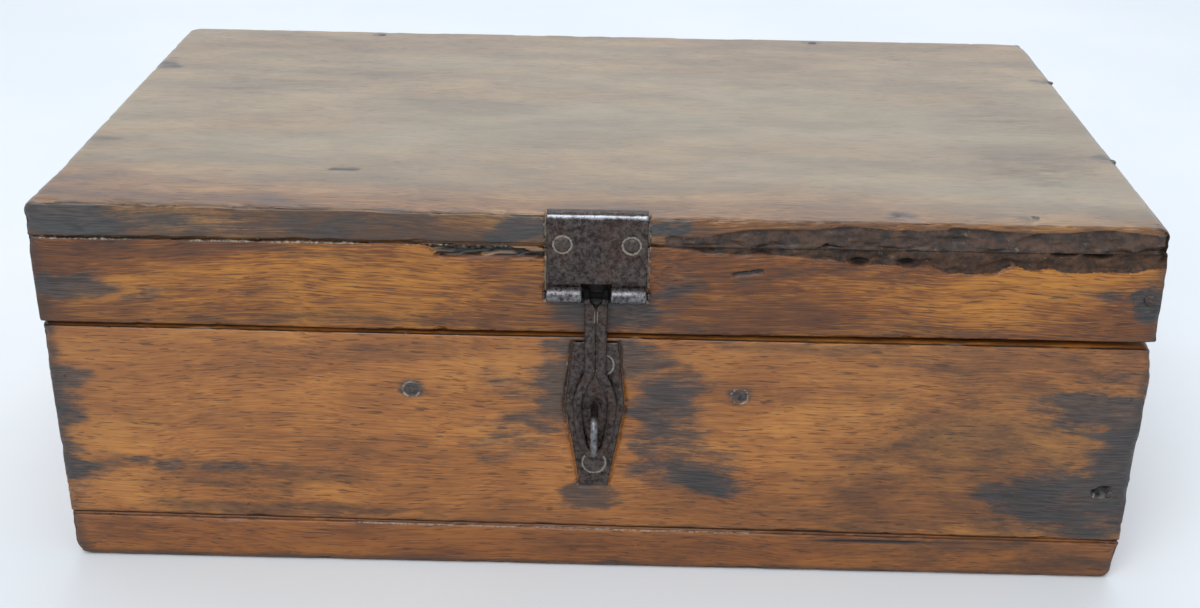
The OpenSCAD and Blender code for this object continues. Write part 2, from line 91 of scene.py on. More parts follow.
RAIL_STAINS = [((-138, 85), (16, 5), 1.0), ((-120, 82), (16, 2.5), 0.6), ((3, 78.5), (19, 7.5), 1.0),
               ((20, 84), (8, 12), 0.6), ((-21, 84), (8, 7), 0.45), ((128, 88), (14, 4), 0.6),
               ((142, 86), (6, 9), 0.95)]
RAIL_BROWNED = [((-60, 76), (70, 2.5), 0.5), ((60, 91), (26, 3), 0.5), ((38, 90), (6, 3), 0.6),
                ((-90, 95), (50, 2.5), 0.5), ((90, 76), (40, 2.5), 0.55), ((-95, 86), (18, 4), 0.35)]
TOP_EDGE_STAINS = [((-133, 103), (14, 8), 1.0), ((-108, 102), (30, 5), 0.6), ((-60, 103), (30, 4), 0.35),
                   ((-19, 103), (9, 6), 0.85), ((19, 105), (8, 3), 0.7)]
TOP_STAINS = [((-12, 11.6), (4.2, 0.8), 0.9), ((-35, 25), (3, 1.5), 0.5), ((95, 60), (14, 3), 0.35),
              ((-95, 62), (16, 5), 0.3)]
TOP_NAIL_STAINS = [((-81, -77.5), 4), ((75, -77.5), 4), ((111, -77.5), 3.4), ((-142.1, -33), 5),
                   ((142.1, -33), 5), ((-142.1, 40), 5), ((142.1, 40), 4), ((-77, 77.5), 4),
                   ((71, 77.5), 4)]


# Small tools

def linear(hex_colour):
    """sRGB hex value as linear RGBA."""
    c = [int(hex_colour[i:i + 2], 16) / 255 for i in (1, 3, 5)]
    return [v / 12.92 if v <= 0.04045 else ((v + 0.055) / 1.055) ** 2.4 for v in c] + [1.0]


def grit(ix, iy, iz, seed):
    """Repeatable number from 0 to 1 at each lattice point."""
    n = (ix * 73856093) ^ (iy * 19349663) ^ (iz * 83492791) ^ (seed * 15485863)
    n = ((n ^ (n >> 13)) * 1274126177) & 0xFFFFFFFF
    n = ((n ^ (n >> 15)) * 668265263) & 0xFFFFFFFF
    return ((n ^ (n >> 16)) & 0xFFFF) / 65535.0


def noise(p, size, seed=0):
    """Smooth noise from 0 to 1 at points p; size is the grain in mm, one number or one per axis."""
    q = p / np.asarray(size, float) + 977.0
    i = np.floor(q).astype(np.int64)
    f = q - i
    f = f * f * (3 - 2 * f)
    total = np.zeros(len(p))
    for corner in np.ndindex(2, 2, 2):
        share = np.prod(np.where(corner, f, 1 - f), axis=1)
        total += share * grit(*(i + corner).T, seed)
    return total


def rough(p, size, seed=0, octaves=3):
    """Sum of finer and finer noise, from 0 to 1."""
    total, weight, size = 0.0, 0.0, np.asarray(size, float)
    for k in range(octaves):
        total = total + noise(p, size / 2 ** k, seed + 31 * k) * 0.6 ** k
        weight += 0.6 ** k
    return total / weight


def step(v, low, high):
    """0 below low, 1 above high, smooth between."""
    t = np.clip((v - low) / (high - low), 0, 1)
    return t * t * (3 - 2 * t)


def patch(a, b, centre, size, soft=0.5):
    """1 inside an ellipse in the plane of a and b, falling to 0 at its edge."""
    d = np.hypot((a - centre[0]) / size[0], (b - centre[1]) / size[1])
    return 1 - step(d, 1 - soft, 1 + soft * 0.4)


def window(v, low, high, soft):
    """1 between low and high, falling to 0 over soft on each side."""
    return step(v, low - soft, low) * (1 - step(v, high, high + soft))


def deepen(marks, key, amount):
    """Raises a mark (wear, dirt, painted shade, painted highlight) to an amount where it is weaker."""
    marks[key] = np.maximum(marks[key], amount)


def spread(marks, key, spots, a, b, where, soft=0.7):
    """Adds soft-edged spots, given as centre, half size and strength, to a wear mark."""
    for centre, size, strength in spots:
        deepen(marks, key, where * strength * patch(a, b, centre, size, soft))


def make(name, verts, faces, body, material, marks=None, recalc=False):
    """Object from points in mm, riding on a body, with its marks of wear, dirt and painted light and shade as
    attributes.
    """
    mesh = bpy.data.meshes.new(name)
    mesh.from_pydata((np.asarray(verts) * MM).tolist(), [], [list(map(int, f)) for f in faces])
    for key, values in (marks or {}).items():
        layer = mesh.attributes.new(key, "FLOAT", "POINT")
        layer.data.foreach_set("value", np.asarray(values, dtype=np.float32))
    mesh.polygons.foreach_set("use_smooth", [True] * len(mesh.polygons))
    if recalc:
        bm = bmesh.new()
        bm.from_mesh(mesh)
        bmesh.ops.recalc_face_normals(bm, faces=bm.faces)
        bm.to_mesh(mesh)
        bm.free()
    mesh.materials.append(material)
    obj = bpy.data.objects.new(name, mesh)
    bpy.context.scene.collection.objects.link(obj)
    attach(obj, body)
    return obj


# Materials

MATH, VECTOR, RANGE = "ShaderNodeMath", "ShaderNodeVectorMath", "ShaderNodeMapRange"
NOISE, MAPPING, MIX = "ShaderNodeTexNoise", "ShaderNodeMapping", "ShaderNodeMix"
SMOOTH = {"interpolation_type": "SMOOTHSTEP"}
# A Mix node set to colours: the numbers of its inputs and of its output
COLOURS = {"data_type": "RGBA"}
FACTOR, UNDER, OVER, MIXED = 0, 6, 7, 2
WAVE_AT_1 = 0.314  # length of one wave of a Wave Texture at scale 1
WOOD_MARKS = ("stain", "grime", "wear", "dust", "rot", "haze", "hollow")
IRON_MARKS = ("polish_and_highlight", "dust", "hollow")


def add_node(tree, kind, inputs=(), **settings):
    """Adds a node with its settings. Its inputs, in order or by number or name, are values or other
    nodes' outputs."""
    node = tree.nodes.new(kind)
    for key, value in settings.items():
        setattr(node, key, value)
    for key, value in inputs.items() if isinstance(inputs, dict) else enumerate(inputs):
        if isinstance(value, bpy.types.NodeSocket):
            tree.links.new(value, node.inputs[key])
        else:
            node.inputs[key].default_value = value
    return node.outputs


def start_material(name, marks=()):
    """Material with its tree, the shader's inputs, places on the piece in mm, and its marks of wear, dirt and
    painted light and shade.
    """
    material = bpy.data.materials.new(name)
    material.use_nodes = True
    tree = material.node_tree
    shader = tree.nodes["Principled BSDF"].inputs
    place = add_node(tree, "ShaderNodeTexCoord")["Object"]
    found = {key: add_node(tree, "ShaderNodeAttribute", attribute_name=key)["Fac"] for key in marks}
    return material, tree, shader, place, found


def old_wood(name, pale, mid, deep, grain_along="x", figure=0.5, ring_mm=7.0, pith=(0, 40, -60), sheen=0.45,
             coat=0.15, blotches=0.5):
    """Waxed old hardwood, sawn and planed by hand: fibre streaks and short dark pores along the grain,
    slow growth figure across it, blue-black iron stain near nails, rot and dust in the seams."""
    material, tree, shader, place, marks = start_material(name, WOOD_MARKS)
    add = partial(add_node, tree)
    quarter_turn = 0 if grain_along == "x" else math.radians(90)
    mm = add(MAPPING, {"Vector": place, "Rotation": (0, 0, quarter_turn), "Scale": (PER_METRE,) * 3})[0]
    # The fibres wander a few millimetres over a hand's width
    wander = add(NOISE, {"Vector": mm, "Scale": 0.014, "Detail": 2.0})["Color"]
    wander = add(VECTOR, (wander, (0.5, 0.5, 0.5)), operation="SUBTRACT")[0]
    wander = add(VECTOR, (wander, (4, 9, 9)), operation="MULTIPLY")[0]
    grain = add(VECTOR, (mm, wander), operation="ADD")[0]

    def fibres(along, across, detail, roughness):
        """Noise drawn out along the grain; sizes in mm."""
        way = add(MAPPING, {"Vector": grain, "Scale": (1 / along, 1 / across, 1 / across)})[0]
        return add(NOISE, {"Vector": way, "Scale": 1.0, "Detail": detail, "Roughness": roughness})["Fac"]

    streak = fibres(38, 0.75, 4.0, 0.65)  # fibre bundles
    fine = fibres(11, 0.34, 2.0, 0.6)     # single fibres, drawn as coarse as the picture can show
    cloud = fibres(34, 13, 5.0, 0.62)     # mottling where the wax has soaked in unevenly
    broad = fibres(120, 46, 3.0, 0.5)     # darker stretches of a board
    pore = add(RANGE, (fibres(5.5, 0.42, 1.0, 0.5), 0.61, 0.68), **SMOOTH)[0]
    ragged = add(MATH, (fibres(15, 4.2, 6.0, 0.72), 0.5), operation="SUBTRACT")[0]
    speck = add(NOISE, {"Vector": mm, "Scale": 1.1, "Detail": 3.0, "Roughness": 0.6})["Fac"]
    speck = add(MATH, (speck, 0.5), operation="SUBTRACT")[0]
    # Growth rings on the sawn face, as long slanting bands
    slant = (0, math.radians(3.5), math.radians(2))
    log = add(MAPPING, {"Vector": grain, "Location": pith, "Rotation": slant})[0]
    rings = add("ShaderNodeTexWave",
                {"Vector": log, "Scale": WAVE_AT_1 / ring_mm, "Distortion": 2.2, "Detail": 3.0,
                 "Detail Scale": 0.6}, wave_type="RINGS", rings_direction="X", wave_profile="SIN")["Fac"]
    rings = add(MATH, (rings, 0.5), operation="SUBTRACT")[0]

    tone = add(MATH, (rings, figure * 0.10), operation="MULTIPLY")[0]
    for pattern, weight in ((streak, 0.22), (cloud, 0.42), (fine, 0.36)):
        tone = add(MATH, (pattern, weight, tone), operation="MULTIPLY_ADD")[0]
    tone = add(RANGE, (tone, 0.32, 0.68), **SMOOTH)[0]
    bare = add("ShaderNodeValToRGB", (tone,))["Color"]
    stops = bare.node.color_ramp.elements
    stops[0].color = linear(deep)
    stops[1].color = linear(pale)
    stops.new(0.5).color = linear(mid)

    def broken(key, raggedness, low, high):
        """A mark whose edge breaks up along the fibres."""
        edge = add(MATH, (ragged, raggedness, marks[key]), operation="MULTIPLY_ADD")[0]
        edge = add(RANGE, (edge, low, high), **SMOOTH)[0]
        present = add(RANGE, (marks[key], 0.0, 0.2), **SMOOTH)[0]
        return add(MATH, (edge, present), operation="MULTIPLY")[0]

    dim = add(MIX, {FACTOR: 0.55, UNDER: bare, OVER: linear(deep)}, **COLOURS)[MIXED]
    blotch = add(RANGE, (broad, 0.44, 0.64, 0.0, blotches), **SMOOTH)[0]
    clouded = add(RANGE, (cloud, 0.3, 0.7, 0.85, 1.1), **SMOOTH)[0]
    soaked = add(RANGE, (cloud, 0.35, 0.65, 0.97, 0.82), **SMOOTH)[0]
    ink = add(RANGE, (fine, 0.35, 0.65), **SMOOTH)[0]
    ink = add(MIX, {FACTOR: ink, UNDER: linear("#17181a"), OVER: linear("#3b3a3b")}, **COLOURS)[MIXED]
    # Rotten wood: dark crumbs a few millimetres long, darkest in their low places as painted shade, with pale
    # flakes on them as painted highlights
    rot = add(MATH, (speck, 0.8, marks["rot"]), operation="MULTIPLY_ADD")[0]
    rot = add(RANGE, (rot, 0.35, 0.6), **SMOOTH)[0]
    crumb = add(NOISE, {"Vector": mm, "Scale": 0.34, "Detail": 6.0, "Roughness": 0.72})["Fac"]
    crumbs = add(RANGE, (crumb, 0.36, 0.64), **SMOOTH)[0]
    crumbs = add(MIX, {FACTOR: crumbs, UNDER: linear("#150d09"), OVER: linear("#4f3524")}, **COLOURS)[MIXED]
    crumb_glint = add(NOISE, {"Vector": mm, "Scale": 0.55, "Detail": 5.0, "Roughness": 0.75})["Fac"]
    crumb_glint = add(RANGE, (crumb_glint, 0.60, 0.70, 0.0, 0.55), **SMOOTH)[0]
    crumbs = add(MIX, {FACTOR: crumb_glint, UNDER: crumbs, OVER: linear("#85766a")}, **COLOURS)[MIXED]
    hollow = add(RANGE, (marks["hollow"], 0.2, 0.8, 0.0, 0.96), **SMOOTH)[0]
    dust = add(MATH, (speck, 1.1, marks["dust"]), operation="MULTIPLY_ADD")[0]
    dust = add(RANGE, (dust, 0.38, 0.75, 0.0, 0.8), **SMOOTH)[0]
    # From the bare wood outwards: what lies on it, how strongly, and its colour
    layers = [
        (blotch, 1.0, dim),
        (pore, 0.62, linear("#2e1b0f")),
        # Haze: pale grey over the lid's upper side, a dust film and painted sheen
        (marks["haze"], clouded, linear("#a29983")),
        # Pale wear: bare wood at worn arrises and splinters, and painted highlight along the lid top's
        # arrises
        (broken("wear", 1.6, 0.36, 0.60), 0.75, linear("#bf946a")),
        (broken("grime", 1.5, 0.15, 0.95), 0.85, linear("#33241a")),
        (broken("stain", 2.0, 0.22, 0.85), soaked, ink),
        (rot, 0.95, crumbs),
        # Near-black painted shade in holes, gaps, seams, open joints and under the hasp arm
        (hollow, 1.0, linear("#0d0907")),
        (dust, 1.0, linear("#aca394"))]
    colour = bare
    for cover, strength, tint in layers:
        amount = add(MATH, (cover, strength), operation="MULTIPLY")[0]
        colour = add(MIX, {FACTOR: amount, UNDER: colour, OVER: tint}, **COLOURS)[MIXED]
    tree.links.new(colour, shader["Base Color"])

    # Wax over fibres: satin, duller in the pores, in dust and where it has rotted
    gloss = add(RANGE, (streak, 0.3, 0.7, sheen - 0.06, sheen + 0.08), **SMOOTH)[0]
    matt = add(MATH, (dust, rot), operation="MAXIMUM")[0]
    for pattern, weight in ((pore, 0.15), (matt, 0.30)):
        gloss = add(MATH, (pattern, weight, gloss), operation="MULTIPLY_ADD")[0]
    tree.links.new(gloss, shader["Roughness"])
    shader["IOR"].default_value = 1.5
    shader["Coat Weight"].default_value = coat
    shader["Coat Roughness"].default_value = 0.30
    # Raised fibres of 0.05 mm, pores of 0.1 mm and crumbs of half a millimetre
    crumbled = add(MATH, (rot, crumb), operation="MULTIPLY")[0]
    height = add(MATH, (streak, 0.40), operation="MULTIPLY")[0]
    for pattern, weight in ((fine, 0.35), (pore, -0.30), (crumbled, 4.5)):
        height = add(MATH, (pattern, weight, height), operation="MULTIPLY_ADD")[0]
    bump = add("ShaderNodeBump", {"Height": height, "Distance": 0.00016, "Strength": 0.6})[0]
    tree.links.new(bump, shader["Normal"])
    return material


def wrought_iron(name, dark, light, worn_and_highlit, rough_low=0.36, rough_high=0.52, rust=0.35):
    """Hand-forged wrought iron, browned and handled: dark scale with a little brown rust in the pits,
    grey metal shining where it is touched and as painted highlights, near-black painted shade where parts sit
    inside others."""
    material, tree, shader, place, marks = start_material(name, IRON_MARKS)
    add = partial(add_node, tree)
    mm = add(MAPPING, {"Vector": place, "Scale": (PER_METRE,) * 3})[0]
    scale = add(NOISE, {"Vector": mm, "Scale": 0.85, "Detail": 6.0, "Roughness": 0.66})["Fac"]
    pits = add(NOISE, {"Vector": mm, "Scale": 1.7, "Detail": 3.0, "Roughness": 0.6})["Fac"]
    cloud = add(NOISE, {"Vector": mm, "Scale": 0.13, "Detail": 3.0})["Fac"]
    lighter = add(RANGE, (scale, 0.32, 0.72), **SMOOTH)[0]
    rusted = add(RANGE, (cloud, 0.45, 0.75, 0.0, rust), **SMOOTH)[0]
    pitted = add(RANGE, (pits, 0.30, 0.44, 0.55, 0.0), **SMOOTH)[0]
    uneven_scale = add(MATH, (scale, 0.5), operation="SUBTRACT")[0]
    # Polish where the metal is touched, which is also painted highlight on the hasp's lip and the staple's
    # front
    polish_and_glint = add(MATH, (uneven_scale, 0.8, marks["polish_and_highlight"]), operation="MULTIPLY_ADD")[0]
    polish_and_glint = add(RANGE, (polish_and_glint, 0.35, 0.9), **SMOOTH)[0]
    uneven_pits = add(MATH, (pits, 0.5), operation="SUBTRACT")[0]
    dust = add(MATH, (uneven_pits, 0.8, marks["dust"]), operation="MULTIPLY_ADD")[0]
    dust = add(RANGE, (dust, 0.35, 0.8, 0.0, 0.75), **SMOOTH)[0]
    # Near-black painted shade where one piece sits inside another: the arm's curls and the pins inside the
    # knuckles
    painted_shade = add(RANGE, (marks["hollow"], 0.1, 0.9), **SMOOTH)[0]
    layers = [(lighter, light), (rusted, "#54392b"), (pitted, "#1c1817"), (polish_and_glint, worn_and_highlit), (dust, "#a49c8f"),
              (painted_shade, "#0c0a09")]
    colour = linear(dark)
    for cover, tint in layers:
        colour = add(MIX, {FACTOR: cover, UNDER: colour, OVER: linear(tint)}, **COLOURS)[MIXED]
    tree.links.new(colour, shader["Base Color"])
    shader["Metallic"].default_value = 0.85
    gloss = add(RANGE, (scale, 0.3, 0.75, rough_low, rough_high), **SMOOTH)[0]
    matt = add(MATH, (dust, painted_shade), operation="MAXIMUM")[0]
    for pattern, weight in ((polish_and_glint, -0.20), (matt, 0.35)):
        gloss = add(MATH, (pattern, weight, gloss), operation="MULTIPLY_ADD")[0]
    tree.links.new(gloss, shader["Roughness"])
    # Hammer dimples and scale pits about 0.1 mm deep
    height = add(MATH, (scale, 0.7), operation="MULTIPLY")[0]
    height = add(MATH, (pits, 0.3, height), operation="MULTIPLY_ADD")[0]
    bump = add("ShaderNodeBump", {"Height": height, "Distance": 0.00022, "Strength": 0.6})[0]
    tree.links.new(bump, shader["Normal"])
    return material


body_wood = old_wood("waxed_hardwood_front", "#bb7d38", "#9b5f27", "#6d401a", figure=0.7, ring_mm=9.0,
                     pith=(0, 30, -38))
rail_wood = old_wood("waxed_hardwood_lid_rail", "#b77726", "#794413", "#3e1e08", figure=0.7, ring_mm=7.0,
                     pith=(0, 25, -85), sheen=0.48, coat=0.08, blotches=0.75)
side_wood = old_wood("waxed_hardwood_side", "#b37b36", "#8b5324", "#552f15", grain_along="y", figure=0.8,
                     ring_mm=7.0, pith=(0, 20, -30))
lid_wood = old_wood("waxed_hardwood_lid_top", "#ad7d43", "#7a4c1c", "#3a1f0f", figure=0.5, ring_mm=11.0,
                    pith=(0, 10, -150), sheen=0.38, coat=0.35, blotches=0.6)
bottom_wood = old_wood("reddish_hardwood_bottom", "#9e6123", "#834c1b", "#522c10", figure=0.5, ring_mm=9.0,
                       pith=(0, 64, 14), blotches=0.35)
inner_wood = old_wood("dry_hardwood_divider", "#a07a4e", "#85603a", "#5d4128", grain_along="y", figure=0.7,
                      sheen=0.62, coat=0.0)
iron = wrought_iron("forged_iron", "#2b2423", "#5d5450", "#8d8f95", 0.26, 0.46, 0.35)
nail_iron = wrought_iron("forged_nail_iron", "#403b38", "#635c58", "#77757a", 0.45, 0.65)


# Boards

CLOSEST_LINES = 0.12  # grid lines nearer than this are left out
AXIS_PAIRS = ((0, 1), (0, 2), (1, 2))
BLOCK_HALF = {"box": HALF_L, "rail": LID_HALF, "top": TOP_HALF}
# Radii of the outer edges, seen from above, from the front and from the side: low-low, high-low,
# high-high and low-high
LID_RADII = ((0.9, 0.9, 6.0, 6.0), (0.8, 0.8, 4.0, 3.0), (0.6, 0.6, 1.6, 1.0))
BOX_RADII = ((0.9, 0.9, 4.5, 4.5), (5.0, 3.0, 1.6, 0.8), (1.4, 1.4, 0.8, 0.8))
ROT_BACK = -HALF_D + 4  # how far back the rot reaches


def ticks(low, high, coarse, edge=5.0, fine=0.7, extra=()):
    """Grid lines across one side of a board: close together near both ends and at extra places."""
    edge = min(edge, (high - low) / 2)
    near_end = int(edge / fine) + 1
    parts = [np.linspace(low, low + edge, near_end), np.linspace(high - edge, high, near_end),
             np.asarray(extra, float)]
    if high - low > 2 * edge + 0.01:
        between = max(2, int((high - low - 2 * edge) / coarse) + 1)
        parts.append(np.linspace(low + edge, high - edge, between))
    values = np.unique(np.round(np.concatenate(parts), 3))
    values = values[(values >= low) & (values <= high)]
    keep = [values[0]]
    for v in values[1:]:
        if v - keep[-1] > CLOSEST_LINES:
            keep.append(v)
    keep[-1] = values[-1]
    return np.array(keep)


def shell(xs, ys, zs):
    """Points, outward directions and quads of a closed box whose sides are divided at the given lines."""
    counts = len(xs), len(ys), len(zs)
    i, j, k = steps = np.indices(counts)
    first, last = steps == 0, steps == np.reshape(counts, (3, 1, 1, 1)) - 1
    on = (first | last).any(0)
    index = np.full(counts, -1)
    index[on] = np.arange(on.sum())
    points = np.stack([xs[i[on]], ys[j[on]], zs[k[on]]], 1)
    out = (last[:, on] * 1.0 - first[:, on]).T
    quads = []
    for axis in range(3):
        for end in (0, -1):
            side = index.take(end, axis)
            q = np.stack([side[:-1, :-1], side[1:, :-1], side[1:, 1:], side[:-1, 1:]], -1).reshape(-1, 4)
            inside_out = (end == 0) != (axis == 1)
            quads.append(q[:, ::-1] if inside_out else q)
    return points, out, np.concatenate(quads)


def round_pair(p, a, b, low, high, radii):
    """Rounds the four edges of a block in the plane of axes a and b. The radii are those of the edges
    low-low, high-low, high-high and low-high."""
    for r, sa, sb in zip(radii, (-1, 1, 1, -1), (-1, -1, 1, 1)):
        ca = (high[a] if sa > 0 else low[a]) - sa * r
        cb = (high[b] if sb > 0 else low[b]) - sb * r
        u, v = (p[:, a] - ca) * sa, (p[:, b] - cb) * sb
        inside = (u > 0) & (v > 0)
        k = np.where(inside, np.maximum(u, v) / (np.hypot(u, v) + 1e-9), 1.0)
        p[:, a] = np.where(inside, ca + sa * u * k, p[:, a])
        p[:, b] = np.where(inside, cb + sb * v * k, p[:, b])


def settled(at, block):
    """How far the joints have moved out of level: the seams slope, and the lid gapes at the right."""
    x, z = at[:, 0], at[:, 2]
    wavy = noise(at, (35, 900, 900), 81 if block == "box" else 82)
    if block == "box":
        near_seam = np.where(z < BOTTOM_TOP, z / BOTTOM_TOP, np.clip(1 - (z - BOTTOM_TOP) / 14, 0, 1))
        return -0.0072 * x * near_seam - (0.05 + 0.25 * wavy) * np.clip(1 - (RIM - z) / 4, 0, 1)
    tilt = (0.25 + 0.0045 * x) * np.clip(1 - np.abs(z - SEAM) / 8.5, 0, 1)
    foot = -0.15 + 0.75 * step(x, -40, 120) + 0.25 * wavy
    return tilt + foot * np.clip(1 - (z - LID_FOOT) / 6, 0, 1)


def board(name, low, high, grid, body, material, block, eased=0.5, seed=1, carve=None):
    """One worn board between two corners. block is 'box', 'rail' or 'top', whose outer corners it shares."""
    points, out, quads = shell(*grid)
    at = points.copy()
    low, high, half = np.array(low, float), np.array(high, float), BLOCK_HALF[block]
    foot, head, radii = (0.0, RIM, BOX_RADII) if block == "box" else (LID_FOOT, TOP, LID_RADII)
    for a, b in AXIS_PAIRS:
        round_pair(points, a, b, low, high, [eased] * 4)
    for (a, b), shared in zip(AXIS_PAIRS, radii):
        round_pair(points, a, b, (-half, -HALF_D, foot), (half, HALF_D, head), shared)
    # How near each point is to the board's own edges, and whether it is on the outside of the block
    edge = 1 - step(np.sort(np.minimum(at - low, high - at), 1)[:, 1], 0.0, 2.2)
    length, reach, height = np.abs(at[:, 0]), np.abs(at[:, 1]), at[:, 2]
    outer = np.maximum(step(length, half - 0.6, half), step(reach, HALF_D - 0.6, HALF_D))
    outer = np.maximum(outer, (height > TOP - 0.1) * 1.0)
    # Planed by hand: shallow waves; worn arrises: small dents and chips; corners knocked off
    waves = rough(at, (45, 30, 14), seed, 2)
    chips = step(rough(at, (9, 5, 4), seed + 5, 3), 0.52, 0.80) * edge
    nicks = step(rough(at, (3.0, 2.5, 2.0), seed + 9, 2), 0.62, 0.85) * edge
    depth = 0.15 * waves * outer + 0.8 * chips * np.maximum(outer, 0.3) + 0.5 * nicks * outer
    corner = step(length, half - 2.5, half) * step(reach, HALF_D - 2.5, HALF_D)
    knocks = step(rough(at, (9, 9, 7), seed + 12, 2), 0.5, 0.85)
    depth += corner * (0.9 * knocks + 0.3 * noise(at, (4, 4, 2.2), seed + 14))
    handled = step(length, half - 7, half - 1) * step(reach, HALF_D - 7, HALF_D - 1)
    handled *= 0.45 + 0.5 * noise(at, 14, seed + 6)
    dirty = 0.55 * edge * rough(at, (25, 12, 8), seed + 2, 2) + 0.25 * (1 - outer)
    worn_and_highlit = step(rough(at, (22, 10, 8), seed + 3, 3), 0.45, 0.7) * step(height, TOP - 2, TOP - 1)
    at_opening = (np.abs(out[:, 2]) > 0.5) * (1 - step(np.abs(height - (LID_FOOT + RIM) / 2), 0.25, 0.4))
    marks = {key: np.zeros(len(at)) for key in WOOD_MARKS}
    marks["grime"] = np.maximum(dirty, handled)
    # Pale along the lid top's arrises: worn wood and painted highlight
    marks["wear"] = 0.75 * edge * outer * worn_and_highlit
    marks["dust"] = 0.12 + 0.25 * (1 - outer) * noise(at, 30, seed + 4)
    # Painted shade: chips on the inner faces, and the outer arris at the gap between lid and box, painted
    # near-black
    marks["hollow"] = np.maximum(0.55 * chips * (1 - outer), 0.9 * outer * at_opening)
    if carve:
        depth += carve(at, out, marks, seed)
    inward = -out / np.linalg.norm(out, axis=1, keepdims=True)
    # Rot eats straight back from the front, so the joint inside it stays closed
    rotten = (marks["rot"] > 0.3)[:, None] & (out[:, 1:2] < -0.5)
    points += np.where(rotten, (0.0, 1.0, 0.0), inward) * depth[:, None]
    points[:, 2] += settled(at, block)
    # The box has spread at its ends, the front of the lid leans in at the right, and its top board
    # reaches further left, where its front has curled up
    left, right = step(-at[:, 0], 95, 137), step(at[:, 0], 95, 137)
    if block == "box":
        points[:, 0] += 1.1 * right * window(height, 14, 62, 10) + 0.3 * right - 0.9 * left
    elif block == "rail":
        points[:, 0] -= 1.1 * right * (height - LID_FOOT) / (SEAM - LID_FOOT)
    else:
        points[:, 0] -= 1.2 * left
        curled = step(-at[:, 0], -20, 110) * step(-at[:, 1], 55, 82) * step(height, SEAM + 2, TOP - 1)
        points[:, 2] += 0.8 * curled
    obj = make(name, points, quads, body, material, marks)
    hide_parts(name)


def nail_marks(points, marks, at, where, strength, size, trail, rim=0.3):
    """Blue-black stain round each nail, drawn out along the grain, and a thin ring of dust."""
    x, z = at[:, 0], at[:, 2]
    for nail_x, nail_z in points:
        deepen(marks, "stain", where * strength * patch(x, z, (nail_x, nail_z), (size * trail, size), 0.75))
        ring = window(np.hypot(x - nail_x, z - nail_z), 2.1, 2.5, 0.4) * (0.6 + 0.4 * noise(at, 2.5, 77))
        deepen(marks, "dust", where * rim * ring)


def front_mask(out):
    """1 for the points on a board's front, 0 for the others."""
    return (out[:, 1] < -0.5) * 1.0


def wandering(at, seed):
    """The points shifted by slow noise, so that what is drawn with them gets uneven outlines."""
    shift = np.stack([rough(at, (14, 7, 5), seed + k) * 16 - 8 for k in (60, 61, 62)], 1)
    return (at + shift * (1, 1, 0.6)).T


def deepest(a, b, spots, soft):
    """The strongest of several patches at each point."""
    return np.max([patch(a, b, centre, size, soft) for centre, size in spots], axis=0)


def carve_front(at, out, marks, seed):
    """Front of the box: recess of the staple plate, iron stains round it and at both ends."""
    front = front_mask(out)
    x, y, z = at.T
    beside = np.abs(x - HASP_X)
    half = np.interp(z, [PLATE_FOOT - 0.4, PLATE_WAIST, PLATE_HEAD + 0.4], [4.1, 8.3, 6.3])
    inside = window(z, PLATE_FOOT - 0.3, PLATE_HEAD + 0.3, 0.25) * (1 - step(beside, half, half + 0.3))
    rim = window(z, PLATE_FOOT - 0.9, PLATE_HEAD + 0.6, 0.4) * window(beside, half - 0.2, half + 0.5, 0.5)
    wx, wy, wz = wandering(at, seed)
    spread(marks, "stain", FRONT_STAINS, wx, wz, front)
    spread(marks, "grime", FRONT_BROWNED, wx, wz, front)
    nail_marks(DIVIDER_NAILS, marks, at, front, 0.9, 3.6, 1.3, 0.62)
    nail_marks(WALL_NAILS, marks, at, front, 0.8, 4.0, 1.2)
    deepen(marks, "grime", front * 0.6 * (1 - step(z, 13, 18)))
    deepen(marks, "grime", front * 0.72 * step(wx, 25, 105) * (0.55 + 0.45 * noise(at, (30, 9, 14), 48)))
    deepen(marks, "dust", front * rim * 0.5 * (0.4 + 0.6 * noise(at, 4, 49)))
    # At the lower right a nail has broken out and left a splintered hole with a pale rim
    hole_x, hole_z = 138.2, 28.0
    hole = front * patch(x + 1.5 * noise(at, 2, 7), z, (hole_x, hole_z), (2.5, 1.9), 0.35)
    torn_rim = window(np.hypot(x - hole_x + 0.8, (z - hole_z) * 1.3), 2.2, 2.8, 0.5)
    deepen(marks, "dust", 0.7 * front * torn_rim * noise(at, 2, 9))
    # Painted shade: the broken nail hole and the seam over the bottom board painted near-black
    deepen(marks, "hollow", hole)
    deepen(marks, "hollow", front * window(z, BOTTOM_TOP, BOTTOM_TOP + 0.35, 0.4) * 0.8)
    groove = (front * (1 - step(z, BOTTOM_TOP + 0.2, BOTTOM_TOP + 1.4))
              * (0.3 + 0.7 * noise(at, (18, 9, 9), 44)))
    return front * (0.68 * inside + 0.25 * rim) + 2.6 * hole + 0.9 * groove


